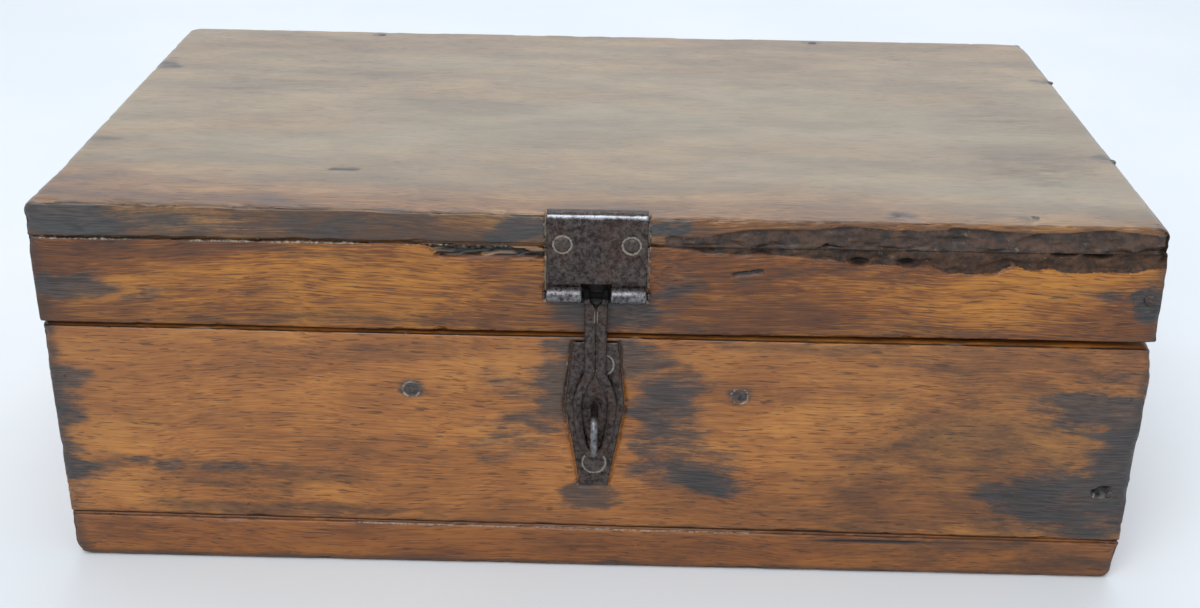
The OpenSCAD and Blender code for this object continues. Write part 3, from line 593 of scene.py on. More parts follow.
def carve_rail(at, out, marks, seed):
    """Front rail of the lid: hasp recess, splintered edge left of it and rotten edge right of it."""
    front = front_mask(out)
    x, y, z = at.T
    inside = window(x, HASP_X - HALF_SEAT, HASP_X + HALF_SEAT, 0.25) * step(z, HASP_Z - 2.9, HASP_Z - 2.4)
    wx, wy, wz = wandering(at, seed)
    spread(marks, "stain", RAIL_STAINS, wx, wz, front)
    spread(marks, "grime", RAIL_BROWNED, wx, wz, front)
    nail_marks(LID_NAILS, marks, at, front, 0.8, 3.6, 1.2)
    # Rotten edge under the top board on the right: narrow at first, with two deeper bays
    edge_z = 95.6 + 2.6 * (1 - step(x, 25, 75)) - 2.4 * window(x, 90, 101, 6) - 1.0 * window(x, 112, 136, 6)
    edge_z -= 2.0 * noise(at, (16, 9, 9), 21) + 0.8 * noise(at, (4, 9, 9), 20)
    rot = (y < ROT_BACK) * step(x, 15, 20) * step(z, edge_z - 0.4, edge_z + 0.6)
    crumbs = step(rough(at, (6.5, 5, 3.6), 23, 4), 0.25, 0.75)
    # Splintered edge on the left: the front of the rail has broken off along the fibres
    torn_z = 97.6 - 4.2 * window(x, -40, -14, 4) * (0.4 + 0.6 * rough(at, (7, 9, 9), 25, 2))
    torn_z -= 0.5 * noise(at, (20, 9, 9), 26)
    torn = front * window(x, -44, -13.5, 1.5) * step(z, torn_z - 0.3, torn_z + 0.4)
    splinter = step(rough(at, (8, 3, 0.9), 27, 2), 0.5, 0.62)
    # A short slanting cut, holes and slots in the rot, and a chip at the right end
    cut = front * window(x, 35.2, 42.2, 0.4) * window(z - (x - 38) * 0.16, 91.0, 91.7, 0.35)
    holes = front * deepest(x, z, [((67.2, 94.7), (2.6, 0.9)), ((79.2, 94.9), (2.4, 0.9))], 0.4)
    slots = front * deepest(x, z, [((119.5, 97.9), (3.6, 1.1)), ((128.5, 97.7), (3.8, 1.1))], 0.35)
    chip = front * patch(x + 2 * noise(at, 3, 71), z, (142.4, 86.5), (3.4, 5.0), 0.4)
    chip *= rough(at, (4, 4, 2), 29, 2)
    under_arm = window(x, HASP_X - 3.6, HASP_X + 3.6, 0.4) * window(z, 82.5, 88.8, 0.5)
    dusty_lip = step(z, 97.0, 97.5) * (x < -20) * step(noise(at, (14, 5, 5), 51), 0.25, 0.5)
    leaf_sides = window(np.abs(x - HASP_X), 13.0, 13.4, 0.4) * step(z, HASP_Z - 3.5, HASP_Z - 3)
    marks["rot"] = rot
    deepen(marks, "grime", 0.6 * torn)
    deepen(marks, "dust", front * 0.55 * dusty_lip)
    deepen(marks, "dust", front * 0.65 * leaf_sides)
    # Painted shade: near-black under the hasp arm, in the splintered break, the cut, the holes and slots, and
    # along the seam under the top board
    deepen(marks, "hollow", front * under_arm)
    deepen(marks, "hollow", np.max([torn * (1 - 0.75 * splinter), cut, holes, slots], axis=0))
    deepen(marks, "hollow", front * step(z, 97.4, 97.9) * (0.2 * (x < 15) + 0.7 * (x < -13)))
    deepen(marks, "wear", torn * splinter * 0.8)
    foot = front * (1 - step(z, LID_FOOT, LID_FOOT + 1.0)) * (0.15 + 0.45 * noise(at, (15, 9, 9), 52))
    eaten = front * rot * (0.3 + 2.0 * crumbs) + torn * (2.4 - 1.5 * splinter)
    return LEAF_SEAT * inside * front + eaten + 1.2 * cut + 2.0 * holes + 2.6 * slots + 1.3 * chip + foot


def carve_top(at, out, marks, seed):
    """Top board: rotten band along its front edge at the right, charred patch at the left, scratches."""
    front = front_mask(out)
    up = (out[:, 2] > 0.5) * 1.0
    x, y, z = at.T
    wx, wy, wz = wandering(at, seed)
    crumbs = step(rough(at, (6.5, 5, 3.6), 23, 4), 0.25, 0.75)
    rot_top = 105.0 - 3.0 * (1 - step(x, 20, 60)) - 2.0 * noise(at, (13, 9, 9), 22)
    rot = (y < ROT_BACK) * (1 - up) * step(x, 14.5, 20) * (1 - step(z, rot_top - 0.4, rot_top + 0.9))
    # Grey haze painted over the upper side: a dust film and painted sheen, thin along the front
    marks["haze"] = up * (0.38 + 0.22 * noise(at, (50, 16, 9), 32))
    marks["haze"] *= 0.08 + 1.02 * step(y + 0.10 * x + 12 * noise(at, (60, 30, 9), 31), -76, -42)
    marks["haze"] *= 1 - 0.16 * step(y, 10, 70)
    marks["rot"] = rot
    spread(marks, "stain", TOP_EDGE_STAINS, wx, wz, front, 0.5)
    spread(marks, "stain", [(centre, (size * 1.6, size), 0.6) for centre, size in TOP_NAIL_STAINS], wx, wy,
           up, 0.8)
    spread(marks, "stain", TOP_STAINS, x, y, up, 0.5)
    mottled = noise(at, (34, 9, 5), 24)
    deepen(marks, "grime", front * (0.52 + 0.36 * mottled) * (x < 14))
    front_dirt = up * (1 - step(y, -81.6, -80.0 + 1.2 * noise(at, (14, 9, 9), 40))) * (x < 14)
    deepen(marks, "grime", front_dirt * (0.55 + 0.4 * mottled))
    darker = patch(wx, wy, (-80, 30), (70, 35), 0.8) + patch(wx, wy, (120, -20), (30, 60), 0.8)
    deepen(marks, "grime", up * 0.50 * darker * noise(at, (60, 18, 9), 33))
    deepen(marks, "dust", front * 0.65 * window(np.abs(x - HASP_X), 13.0, 13.4, 0.4))
    dusty_seam = window(z, SEAM - 0.1, SEAM + 0.3, 0.2) * step(noise(at, (14, 5, 5), 51), 0.2, 0.45)
    deepen(marks, "dust", front * (x < -20) * 0.6 * dusty_seam)
    # Worn through along the front arris, painted pale as bare wood and as painted highlight, less where it is
    # rotten
    worn_and_highlit_front = up * (1 - step(y, -82.5, -79.5 + 3 * noise(at, (20, 9, 9), 34)))
    marks["wear"] *= 1 - 0.7 * up
    deepen(marks, "wear", worn_and_highlit_front * 0.75 * step(noise(at, (16, 9, 9), 35), 0.45, 0.7))
    deepen(marks, "wear", front * step(z, 105.2, 106.2) * 0.7 * step(noise(at, (14, 9, 9), 36), 0.45, 0.7))
    marks["wear"] *= 1 - 0.5 * (x > 14) * (y < -78)
    scratch = up * window(x, -77, -60.5, 0.8) * window(y + (x + 77) * 0.13, -51.6, -50.8, 0.4)
    seam = front * (1 - step(z, SEAM, SEAM + 0.7)) * (0.4 + 0.5 * noise(at, (24, 9, 9), 37)) * (x < 15)
    # Painted shade: the scratch and the seam over the rail painted near-black
    deepen(marks, "hollow", 0.8 * scratch)
    deepen(marks, "hollow", seam * 0.7)
    over_seat = window(x, HASP_X - HALF_SEAT, HASP_X + HALF_SEAT, 0.25)
    inside = over_seat * front
    lip_seat = up * over_seat * (1 - step(y, -79.3, -79.0))
    arris = (1 - step(np.hypot(y + HALF_D, z - TOP), 0.0, 4.0)) * (1 - inside) * np.maximum(front, up)
    bites = step(rough(at, (10, 6, 6), 38, 3), 0.50, 0.72) + 0.4 * step(noise(at, (2.6, 4, 4), 39), 0.5, 0.8)
    eaten = front * rot * (0.3 + 2.0 * crumbs)
    return LEAF_SEAT * inside + 0.35 * lip_seat + eaten + 0.35 * scratch + 0.8 * seam + 0.6 * bites * arris


def carve_back(at, out, marks, seed):
    """Back boards: recesses of the hinge leaves, blue-black iron stain round them."""
    back = (out[:, 1] > 0.5) * 1.0
    x, y, z = at.T
    depth = np.zeros(len(at))
    above = np.abs(z - HINGE_Z)
    for s in (-1, 1):
        beside = np.abs(x - s * HINGE_X)
        inside = (1 - step(beside, 13.2, 13.5)) * (1 - step(above, 20.2, 20.6))
        rim = window(beside, 13.1, 13.7, 0.5) * (1 - step(above, 20.4, 21.4))
        near = (1 - step(beside, 13, 19 + 5 * noise(at, 8, seed))) * (1 - step(above, 20, 25))
        deepen(marks, "stain", back * near * 0.75)
        deepen(marks, "dust", back * rim * 0.6)
        depth = np.maximum(depth, back * LEAF_SEAT * inside)
    nail_marks(WALL_NAILS + LID_NAILS, marks, at, back, 0.8, 4.0, 1.3)
    nail_marks(DIVIDER_NAILS, marks, at, back, 0.7, 3.4, 1.2)
    deepen(marks, "grime", back * 0.45 * noise(at, (40, 9, 12), seed + 8))
    # Painted shade: the seams over the bottom board and under the lid's top board painted dark
    seam = back * (window(z, SEAM - 0.8, SEAM, 0.4) + window(z, BOTTOM_TOP, BOTTOM_TOP + 0.8, 0.4))
    deepen(marks, "hollow", seam * 0.7 * (0.4 + 0.6 * noise(at, (18, 9, 9), 44)))
    return depth + 0.6 * seam * noise(at, (18, 9, 9), 45)


def carve_side(at, out, marks, seed):
    """End boards: handled and darker low down, open joints to the front and back boards."""
    side = (np.abs(out[:, 0]) > 0.5) * (np.abs(at[:, 0]) > HALF_L - 1)
    y, z = at[:, 1], at[:, 2]
    shift = np.stack([noise(at, 12, seed + k) * 10 - 5 for k in (60, 61, 62)], 1)
    wx, wy, wz = (at + shift).T
    ends = side * step(np.abs(y), 72.6, 73.8)
    handled = 0.5 * step(np.abs(wy), 45, 75) + 0.35 * (1 - step(z, 13, 30))
    # Painted shade: the open joints to the front and back boards painted near-black
    deepen(marks, "hollow", ends * 0.8)
    deepen(marks, "grime", side * handled * noise(at, (9, 30, 9), seed + 8) * 1.5)
    deepen(marks, "stain", side * 0.8 * patch(wy, wz, (-76, 50), (14, 16), 0.8))
    return 0.5 * ends


def carve_bottom(at, out, marks, seed):
    """Bottom board: dark foot, small dents along the front, and a split near its upper edge at the right."""
    front = front_mask(out)
    x, y, z = at.T
    # The foot painted dark: grime, and painted shade where the box stands on the floor
    deepen(marks, "grime", front * (1 - step(z, 0.5, 3.5)) * 0.9)
    deepen(marks, "grime", front * 0.68 * step(x, 20, 100) * (0.5 + 0.5 * noise(at, (30, 9, 5), 48)))
    seam = front * step(z, BOTTOM_TOP - 1.0, BOTTOM_TOP - 0.2) * (0.35 + 0.65 * noise(at, (18, 9, 9), 44))
    split = (front * window(x, 62, 118, 6) * window(z - (x - 90) * 0.012, 10.6, 11.1, 0.4)
             * noise(at, (14, 9, 9), 46))
    # Painted shade: the seam under the front board and the split painted near-black
    deepen(marks, "hollow", seam * 0.8)
    deepen(marks, "hollow", split)
    deepen(marks, "dust", front * window(x, -60, 40, 15) * window(z, 12.2, 12.8, 0.3) * 0.8)
    dents = front * step(noise(at, (6, 4, 3), 47), 0.72, 0.9) * 0.4
    return 0.9 * seam + 0.8 * split + dents


hasp_lines = list(np.linspace(HASP_X - 15, HASP_X + 15, 61)) + [HASP_X - HALF_SEAT, HASP_X + HALF_SEAT]
plate_lines = (list(np.linspace(HASP_X - 11, HASP_X + 11, 56))
               + [x + d for x, z in DIVIDER_NAILS for d in np.arange(-4.2, 4.3, 0.4)])
hinge_lines = [s * HINGE_X + d for s in (-1, 1) for d in (-13.6, -13.4, -13.2, 13.2, 13.4, 13.6)]
ythin = np.linspace(0, WALL, 8)

board("bottom_board", (-HALF_L, -HALF_D, 0), (HALF_L, HALF_D, BOTTOM_TOP),
      (ticks(-HALF_L, HALF_L, 1.6), ticks(-HALF_D, HALF_D, 4.0), ticks(0, BOTTOM_TOP, 0.8, 2.5, 0.5)),
      "box", bottom_wood, "box", 0.6, 11, carve_bottom)
board("front_board", (-HALF_L, -HALF_D, BOTTOM_TOP), (HALF_L, -INNER_Y, RIM),
      (ticks(-HALF_L, HALF_L, 1.5, extra=plate_lines), -HALF_D + ythin,
       ticks(BOTTOM_TOP, RIM, 0.75, 3.0, 0.45, extra=np.arange(51.4, 59.9, 0.4))), "box", body_wood, "box",
      0.5, 12, carve_front)
board("back_board", (-HALF_L, INNER_Y, BOTTOM_TOP), (HALF_L, HALF_D, RIM),
      (ticks(-HALF_L, HALF_L, 2.4, extra=hinge_lines), INNER_Y + ythin,
       ticks(BOTTOM_TOP, RIM, 1.5, 3.0, 0.5, extra=(52.2, 52.5, 52.8))), "box", body_wood, "box", 0.5, 13,
      carve_back)
for side, body_name, seed in ((-1, "left_board", 14), (1, "right_board", 15)):
    lo, hi = sorted((side * HALF_L, side * (HALF_L - WALL)))
    board(body_name, (lo, -INNER_Y, BOTTOM_TOP), (hi, INNER_Y, RIM),
          (lo + ythin, ticks(-INNER_Y, INNER_Y, 1.6), ticks(BOTTOM_TOP, RIM, 1.2, 3.0, 0.5)), "box",
          side_wood, "box", 0.5, seed, carve_side)
for name, (lo, hi) in DIVIDERS.items():
    board(name, (lo, -INNER_Y, BOTTOM_TOP), (hi, INNER_Y, DIVIDER_TOP),
          (np.linspace(lo, hi, 7), ticks(-INNER_Y, INNER_Y, 3),
           ticks(BOTTOM_TOP, DIVIDER_TOP, 2.5, 2.0, 0.5)), "box", inner_wood, "box", 0.7, 16 + int(lo > 0))
board("lid_top_board", (-TOP_HALF, -HALF_D, SEAM), (TOP_HALF, HALF_D, TOP),
      (ticks(-TOP_HALF, TOP_HALF, 1.4, extra=hasp_lines), ticks(-HALF_D, HALF_D, 2.4, 6.0, 0.6),
       ticks(SEAM, TOP, 0.5, 4.2, 0.45)), "lid", lid_wood, "top", 0.4, 21, carve_top)
board("lid_front_rail", (-LID_HALF, -HALF_D, LID_FOOT), (LID_HALF, -INNER_Y, SEAM),
      (ticks(-LID_HALF, LID_HALF, 1.0, extra=hasp_lines), -HALF_D + ythin,
       ticks(LID_FOOT, SEAM, 0.6, 7.0, 0.4)), "lid", rail_wood, "rail", 0.4, 22, carve_rail)
board("lid_back_rail", (-LID_HALF, INNER_Y, LID_FOOT), (LID_HALF, HALF_D, SEAM),
      (ticks(-LID_HALF, LID_HALF, 2.4, extra=hinge_lines), INNER_Y + ythin,
       ticks(LID_FOOT, SEAM, 1.4, 3.0, 0.5, extra=(92.8, 93.1, 93.4))), "lid", rail_wood, "rail", 0.4, 23,
      carve_back)
for side, body_name, seed in ((-1, "lid_left_rail", 24), (1, "lid_right_rail", 25)):
    lo, hi = sorted((side * LID_HALF, side * (LID_HALF - WALL)))
    board(body_name, (lo, -INNER_Y, LID_FOOT), (hi, INNER_Y, SEAM),
          (lo + ythin, ticks(-INNER_Y, INNER_Y, 1.6), ticks(LID_FOOT, SEAM, 1.2, 3.0, 0.5)), "lid",
          side_wood, "rail", 0.5, seed, carve_side)


# Forged iron

ROW = 0.3  # step along the flat part of a leaf
NOTCH_HEIGHT = 2.7  # clear height above the pin, between the knuckles
KNUCKLE_GAP = 0.3


def sheet(name, centre, normal, thickness, keep, body, marks):
    """Closed sheet from a grid of points on its middle; cells whose keep is false are left open."""
    a, b = centre.shape[:2]
    t = thickness[..., None] / 2
    verts = np.concatenate([(centre + normal * t).reshape(-1, 3), (centre - normal * t).reshape(-1, 3)])
    n, at = a * b, np.arange(a * b).reshape(a, b)
    quads = []
    for i in range(a - 1):
        for j in range(b - 1):
            if not keep[i, j]:
                continue
            c = [at[i, j], at[i + 1, j], at[i + 1, j + 1], at[i, j + 1]]
            quads.append(c)
            quads.append([v + n for v in c[::-1]])
            for (u, v), (di, dj) in zip(((0, 3), (2, 1), (1, 0), (3, 2)), ((-1, 0), (1, 0), (0, -1), (0, 1))):
                ii, jj = i + di, j + dj
                if ii < 0 or jj < 0 or ii >= a - 1 or jj >= b - 1 or not keep[ii, jj]:
                    quads.append([c[u], c[v], c[v] + n, c[u] + n])
    used = np.unique(np.array(quads))
    new = np.full(len(verts), -1)
    new[used] = np.arange(len(used))
    quads = new[np.array(quads)]
    marks = {k: np.concatenate([v.reshape(-1), v.reshape(-1)])[used] for k, v in marks.items()}
    obj = make(name, verts[used], quads, body, iron, marks, recalc=True)
    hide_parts(name)


def leaf(name, cx, axis_y, axis_z, out, up, reach, knuckles, body, polish_and_highlight, lip=0.0):
    """Sheet leaf rolled round its pin: path from the far edge to the pin, then nearly once round it."""
    wall = axis_y - out * CURL_R
    path = []
    if lip:
        bend = 1.3
        path += [(wall - out * v, axis_z + reach) for v in np.linspace(lip, bend, 6)]
        top = axis_z + reach - bend
        path += [(wall - out * bend * (1 - math.sin(t)), top + bend * math.cos(t))
                 for t in np.linspace(0, math.pi / 2, 8)[1:]]
    else:
        top = axis_z + up * reach
    path += [(wall, z) for z in np.linspace(top, axis_z, int(abs(top - axis_z) / ROW))[1 if lip else 0:]]
    roll_from = len(path)
    path += [(axis_y - out * CURL_R * math.cos(t), axis_z - up * CURL_R * math.sin(t))
             for t in np.linspace(0, math.radians(318), 40)[1:]]
    path = np.array(path)
    tangent = np.gradient(path, axis=0)
    tangent /= np.linalg.norm(tangent, axis=1, keepdims=True)
    normal2 = np.stack([-tangent[:, 1], tangent[:, 0]], 1) * (1 if out * up > 0 else -1)
    ends = [c + s * w / 2 for c, w in knuckles for s in (-1, 1)]
    xs = ticks(-LEAF_W / 2, LEAF_W / 2, 0.36, 1.0, 0.18,
               extra=[e + d for e in ends for d in (-0.5, -0.25, 0, 0.25, 0.5)])
    across, along = np.meshgrid(xs, np.arange(len(path)), indexing="xy")
    centre = np.stack([cx + across, path[along, 0], path[along, 1]], -1).astype(float)
    normal = np.stack([np.zeros_like(across), normal2[along, 0], normal2[along, 1]], -1)
    mids = (xs[:-1] + xs[1:]) / 2
    in_knuckle = np.any([np.abs(mids - c) < w / 2 for c, w in knuckles], axis=0)
    clear_from = roll_from - int(NOTCH_HEIGHT / ROW)
    rows = np.arange(len(path) - 1)
    keep = (rows[:, None] < clear_from) | in_knuckle[None, :]
    far = LEAF_W / 2 - np.abs(across)
    for e in ends:
        far = np.where(along >= clear_from, np.minimum(far, np.abs(across - e)), far)
    far = np.minimum(far, np.minimum(along, len(path) - 1 - along) * ROW)
    thin = np.sqrt(np.clip(1 - (1 - np.clip(far / 0.45, 0, 1)) ** 2, 0.08, 1))
    flat = centre.reshape(-1, 3)
    hammer = ((noise(flat, 4.5, 5) - 0.5).reshape(across.shape) * 0.22
              + (noise(flat, 1.6, 6) - 0.5).reshape(across.shape) * 0.08)
    hammer = np.where(along >= roll_from - 2, hammer * 0.3, hammer)
    thickness = (SHEET - 0.08) * thin + np.minimum(hammer, 0.04)
    wave = ((noise(flat * (0, 1, 1), 3.0, 8) - 0.5).reshape(across.shape) * 0.35
            * (1 - step(LEAF_W / 2 - np.abs(across), 0, 2)))
    centre[..., 0] -= np.sign(across) * np.abs(wave)
    edge = 1 - step(far, 0.1, 1.0)
    shine = np.where(along >= roll_from, polish_and_highlight, 0.15 * edge)
    # Painted highlight: a broken bright line along the bend of the lip
    if lip:
        patchy = 0.6 + 0.7 * noise(flat, (3, 9, 9), 12).reshape(across.shape)
        shine = np.maximum(shine, window(along, 9, 10.5, 1.2) * patchy)
    dust = 0.6 * edge * (noise(flat, 2.2, 9).reshape(across.shape)) * (along < clear_from)
    # Dirt caught round the two nail heads
    nail_z = axis_z + up * (HASP_NAIL_RISE if lip else HINGE_NAIL_RISE)
    rings = np.hypot(np.abs(across) - LEAF_NAIL_X, centre[..., 2] - nail_z)
    dust = np.maximum(dust, 0.75 * window(rings, 2.15, 2.5, 0.35) * (along < clear_from))
    sheet(name, centre, normal, thickness, keep, body, {"polish_and_highlight": shine, "dust": dust})


def beside(width):
    """Middle and width of two knuckles at the ends of a leaf."""
    return [(s * (LEAF_W - width) / 2, width) for s in (-1, 1)]


hasp_reach = TOP + LIP_RISE - SHEET / 2 - HASP_Z
leaf("hasp_leaf", HASP_X, HASP_Y, HASP_Z, -1, 1, hasp_reach, beside((LEAF_W - HASP_NOTCH) / 2), "lid", 0.55,
     LIP_DEPTH)
middle_w = LEAF_W / 3 - KNUCKLE_GAP
outer_w = (LEAF_W - middle_w) / 2 - KNUCKLE_GAP
for side, word in ((-1, "left"), (1, "right")):
    axis = (side * HINGE_X, HINGE_Y, HINGE_Z)
    leaf(word + "_hinge_lid_leaf", *axis, 1, 1, HINGE_REACH, beside(outer_w), "lid", 0.3)
    leaf(word + "_hinge_box_leaf", *axis, 1, -1, HINGE_REACH, [(0, middle_w)], "box", 0.3)


def plate():
    """Staple plate: six-sided sheet let into the front board, thin and ragged at its rim."""
    zs = ticks(PLATE_FOOT, PLATE_HEAD, 0.38, 1.2, 0.2)
    us = np.concatenate([np.linspace(-1, -0.9, 5), np.linspace(-0.9, 0.9, 43)[1:-1], np.linspace(0.9, 1, 5)])
    half = np.interp(zs, [PLATE_FOOT, PLATE_WAIST, PLATE_HEAD], [3.8, 8.0, 6.0])
    u, row = np.meshgrid(us, np.arange(len(zs)), indexing="xy")
    z = zs[row]
    x = HASP_X + u * half[row]
    centre = np.stack([x, np.full_like(x, -HALF_D + 0.3), z], -1)
    flat = centre.reshape(-1, 3)
    ragged = (noise(flat * (0.2, 1, 1), 2.4, 41) - 0.5).reshape(x.shape) * 0.5 * np.abs(u) ** 6
    centre[..., 0] -= np.sign(u) * np.abs(ragged)
    far = np.minimum((1 - np.abs(u)) * half[row], np.minimum(z - PLATE_FOOT, PLATE_HEAD - z))
    thin = np.sqrt(np.clip(1 - (1 - np.clip(far / 0.5, 0, 1)) ** 2, 0.08, 1))
    dents = (noise(flat, 3.5, 42) - 0.5).reshape(x.shape) * 0.20
    legs = np.minimum(*[np.hypot(x - HASP_X, z - leg) for leg in (STAPLE_LOW, STAPLE_HIGH)])
    thickness = 1.12 * thin + np.minimum(dents, 0.03) - 0.35 * (1 - step(legs, 1.1, 2.0))
    edge = 1 - step(far, 0.1, 0.9)
    dust = 0.5 * edge * noise(flat, 2.2, 43).reshape(x.shape) + 0.4 * window(legs, 1.2, 1.8, 0.4)
    heads = np.minimum(*[np.hypot(x - nx, z - nz) for nx, nz in PLATE_NAILS])
    dust = np.maximum(dust, 0.75 * window(heads, 3.0, 3.3, 0.4))
    normal = np.zeros_like(centre)
    normal[..., 1] = -1
    sheet("staple_plate", centre, normal, thickness, np.ones((len(zs) - 1, len(us) - 1), bool), "box",
          {"polish_and_highlight": 0.10 + 0.2 * edge, "dust": dust})


plate()


def bar(name, path, wide, width, depth, body, power, sides, marks, wobble=0.06, seed=3):
    """Solid iron bar along a path; wide is the direction of its width at each point."""
    path, wide = np.asarray(path, float), np.asarray(wide, float)
    tangent = np.gradient(path, axis=0)
    tangent /= np.linalg.norm(tangent, axis=1, keepdims=True)
    wide = wide - tangent * (wide * tangent).sum(1, keepdims=True)
    wide /= np.linalg.norm(wide, axis=1, keepdims=True)
    other = np.cross(tangent, wide)
    t = np.arange(sides) / sides * 2 * math.pi
    c, s = np.cos(t), np.sin(t)
    cu, sv = np.sign(c) * np.abs(c) ** (2 / power), np.sign(s) * np.abs(s) ** (2 / power)
    width, depth = np.broadcast_to(width, len(path)), np.broadcast_to(depth, len(path))
    rings = path[:, None] + wide[:, None] * (cu[None, :, None] * width[:, None, None] / 2)
    rings = rings + other[:, None] * (sv[None, :, None] * depth[:, None, None] / 2)
    n = len(path)
    flat = rings.reshape(-1, 3)
    middle = np.repeat(path, sides, 0)
    radial = flat - middle
    flat = middle + radial * (1 - wobble * 2 * np.clip(noise(flat, 2.2, seed), 0, 1)[:, None])
    verts = np.concatenate([flat, path[:1], path[-1:]])
    quads = []
    for j in range(sides):
        k, last = (j + 1) % sides, (n - 1) * sides
        quads += [[i + j, i + k, i + sides + k, i + sides + j] for i in range(0, last, sides)]
        quads += [[n * sides, k, j], [n * sides + 1, last + j, last + k]]
    values = {}
    for key, per_ring in marks.items():
        v = np.broadcast_to(per_ring, n)
        values[key] = np.concatenate([np.repeat(v, sides), v[:1], v[-1:]])
    obj = make(name, verts, quads, body, iron, values, recalc=True)
    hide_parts(name)
    return obj


def strand():
    """The hasp arm: from one curl down a strand, round the eye, and up the other strand to its curl."""
    top, eye_top, tip = 84.6, 62.25, 36.7
    curl_x, strand_x, eye_half, curl_r = 2.45, 1.54, 4.55, 1.5
    widest = 0.38  # share of the eye's length at which it is widest

    def half(side):
        """Rows of point, whether it is in the eye, width, depth and brightness."""
        rows = []
        for turn in np.radians(np.linspace(-112, 180, 40)):
            place = (side * curl_x, HASP_Y + curl_r * math.cos(turn), HASP_Z + curl_r * math.sin(turn))
            rows.append((place, False, 1.7, 1.15, -0.4))
        for t in np.linspace(0, 1, 34):
            lean = 1.5 * (1 - step(t, 0.0, 0.11))
            notch = 1 - step(t, 0.0, 0.16)
            place = (side * (strand_x + 0.8 * notch), HASP_Y - lean, top - t * (top - eye_top))
            rows.append((place, False, 3.0 - 1.3 * notch, 1.2 + 0.6 * step(t, 0.0, 0.25), 0.12 - 0.3 * notch))
        for t in np.linspace(0, 1, 44)[1:-1] ** 0.96:
            opening = strand_x + (eye_half - strand_x) * math.sin(math.pi / 2 * t / widest)
            if t >= widest:
                opening = eye_half * max(0.0, 1 - ((t - widest) / (1 - widest)) ** 2.2) ** 0.62
            place = (side * opening, HASP_Y, eye_top - t * (eye_top - tip))
            rows.append((place, True, 3.0 - 0.7 * t, 1.75, 0.16))
        return rows

    rows = half(1) + [((0.0, HASP_Y, tip), True, 2.3, 1.75, 0.25)] + half(-1)[::-1]
    points = np.array([row[0] for row in rows]) + (HASP_X, 0, 0)
    in_eye = np.array([row[1:2] for row in rows])
    width, depth, polish_and_highlight = np.array([row[2:] for row in rows]).T
    tangent = np.gradient(points, axis=0)
    wide = np.where(in_eye, np.cross((0, 1, 0), tangent) * (-1, 0, -1), (1.0, 0.0, 0.0))
    # Keep the width direction from flipping along the path
    for k in range(1, len(wide)):
        if wide[k] @ wide[k - 1] < 0:
            wide[k] = -wide[k]
    # Curls, with a brightness below -0.3, sit in the notch between the knuckles and get near-black painted
    # shade
    marks = {"polish_and_highlight": polish_and_highlight, "dust": 0.0, "hollow": (polish_and_highlight < -0.3) * 1.0}
    obj = bar("hasp_arm", points, wide, width, depth, "hasp", 3.2, 18, marks, seed=51)
    # Pale dirt in the seam where the two strands touch
    places = [v.co / MM for v in obj.data.vertices]
    dirt = [0.9 if abs(p.x - HASP_X) < 0.35 and 63 < p.z < 82.5 else 0.0 for p in places]
    obj.data.attributes["dust"].data.foreach_set("value", dirt)


strand()


def staple():
    """Drawn wire loop, clenched over inside the box."""
    low, high = STAPLE_LOW, STAPLE_HIGH
    front, inside, r = -91.35, -72.85, 3.6
    path = [(HASP_X, inside, low - t) for t in np.linspace(6, 0.6, 8)]
    path += [(HASP_X, inside - 0.6 * math.sin(t), low - 0.6 * math.cos(t)) for t in np.linspace(0.2, 1.4, 4)]
    path += [(HASP_X, y, low) for y in np.linspace(inside - 0.8, front + r, 20)]
    path += [(HASP_X, front + r - r * math.sin(t), low + r - r * math.cos(t))
             for t in np.linspace(0, math.pi / 2, 9)[1:]]
    path += [(HASP_X, front, z) for z in np.linspace(low + r, high - r, 6)[1:-1]]
    path += [(HASP_X, front + r - r * math.cos(t), high - r + r * math.sin(t))
             for t in np.linspace(0, math.pi / 2, 9)]
    path += [(HASP_X, y, high) for y in np.linspace(front + r, inside - 0.8, 20)[1:]]
    path += [(HASP_X, inside - 0.6 * math.sin(t), high + 0.6 * math.cos(t)) for t in np.linspace(1.4, 0.2, 4)]
    path += [(HASP_X, inside, high + t) for t in np.linspace(0.6, 6, 8)]
    path = np.array(path)
    # The front of the staple painted bright: polish and painted highlight
    polish_and_highlight = np.where(path[:, 1] < -88, 0.6, 0.1)
    wide = np.tile([1.0, 0, 0], (len(path), 1))
    bar("staple", path, wide, 2.25, 2.2, "box", 2.1, 14, {"polish_and_highlight": polish_and_highlight}, seed=52)


staple()


def pin(name, cx, y, z, body):
    """Pin whose ends are hammered over into small heads."""
    ends = np.array([13.5, 13.9, 13.95, 14.1, 14.4, 14.5])
    xs = np.concatenate([-ends[::-1], np.linspace(-13, 13, 20), ends]) * (13.9 / 14.5)
    from_middle = np.abs(xs)
    d = np.where(from_middle > 13.32, 2.6, 1.75)
    d = np.where(from_middle > 13.75, 1.7, d)
    path = np.stack([cx + xs, np.full_like(xs, y), np.full_like(xs, z)], 1)
    # The middle of the pin, inside the knuckles, gets near-black painted shade
    marks = {"polish_and_highlight": np.where(d > 2, 0.4, 0.1), "hollow": (from_middle < 13) * 1.0}
    bar(name, path, np.tile([0, 1.0, 0], (len(xs), 1)), d, d, body, 2.0, 12, marks, wobble=0.02, seed=53)


pin("hasp_pin", HASP_X, HASP_Y, HASP_Z, "lid")
pin("left_hinge_pin", -HINGE_X, HINGE_Y, HINGE_Z, "lid")
pin("right_hinge_pin", HINGE_X, HINGE_Y, HINGE_Z, "lid")


# Forged nails

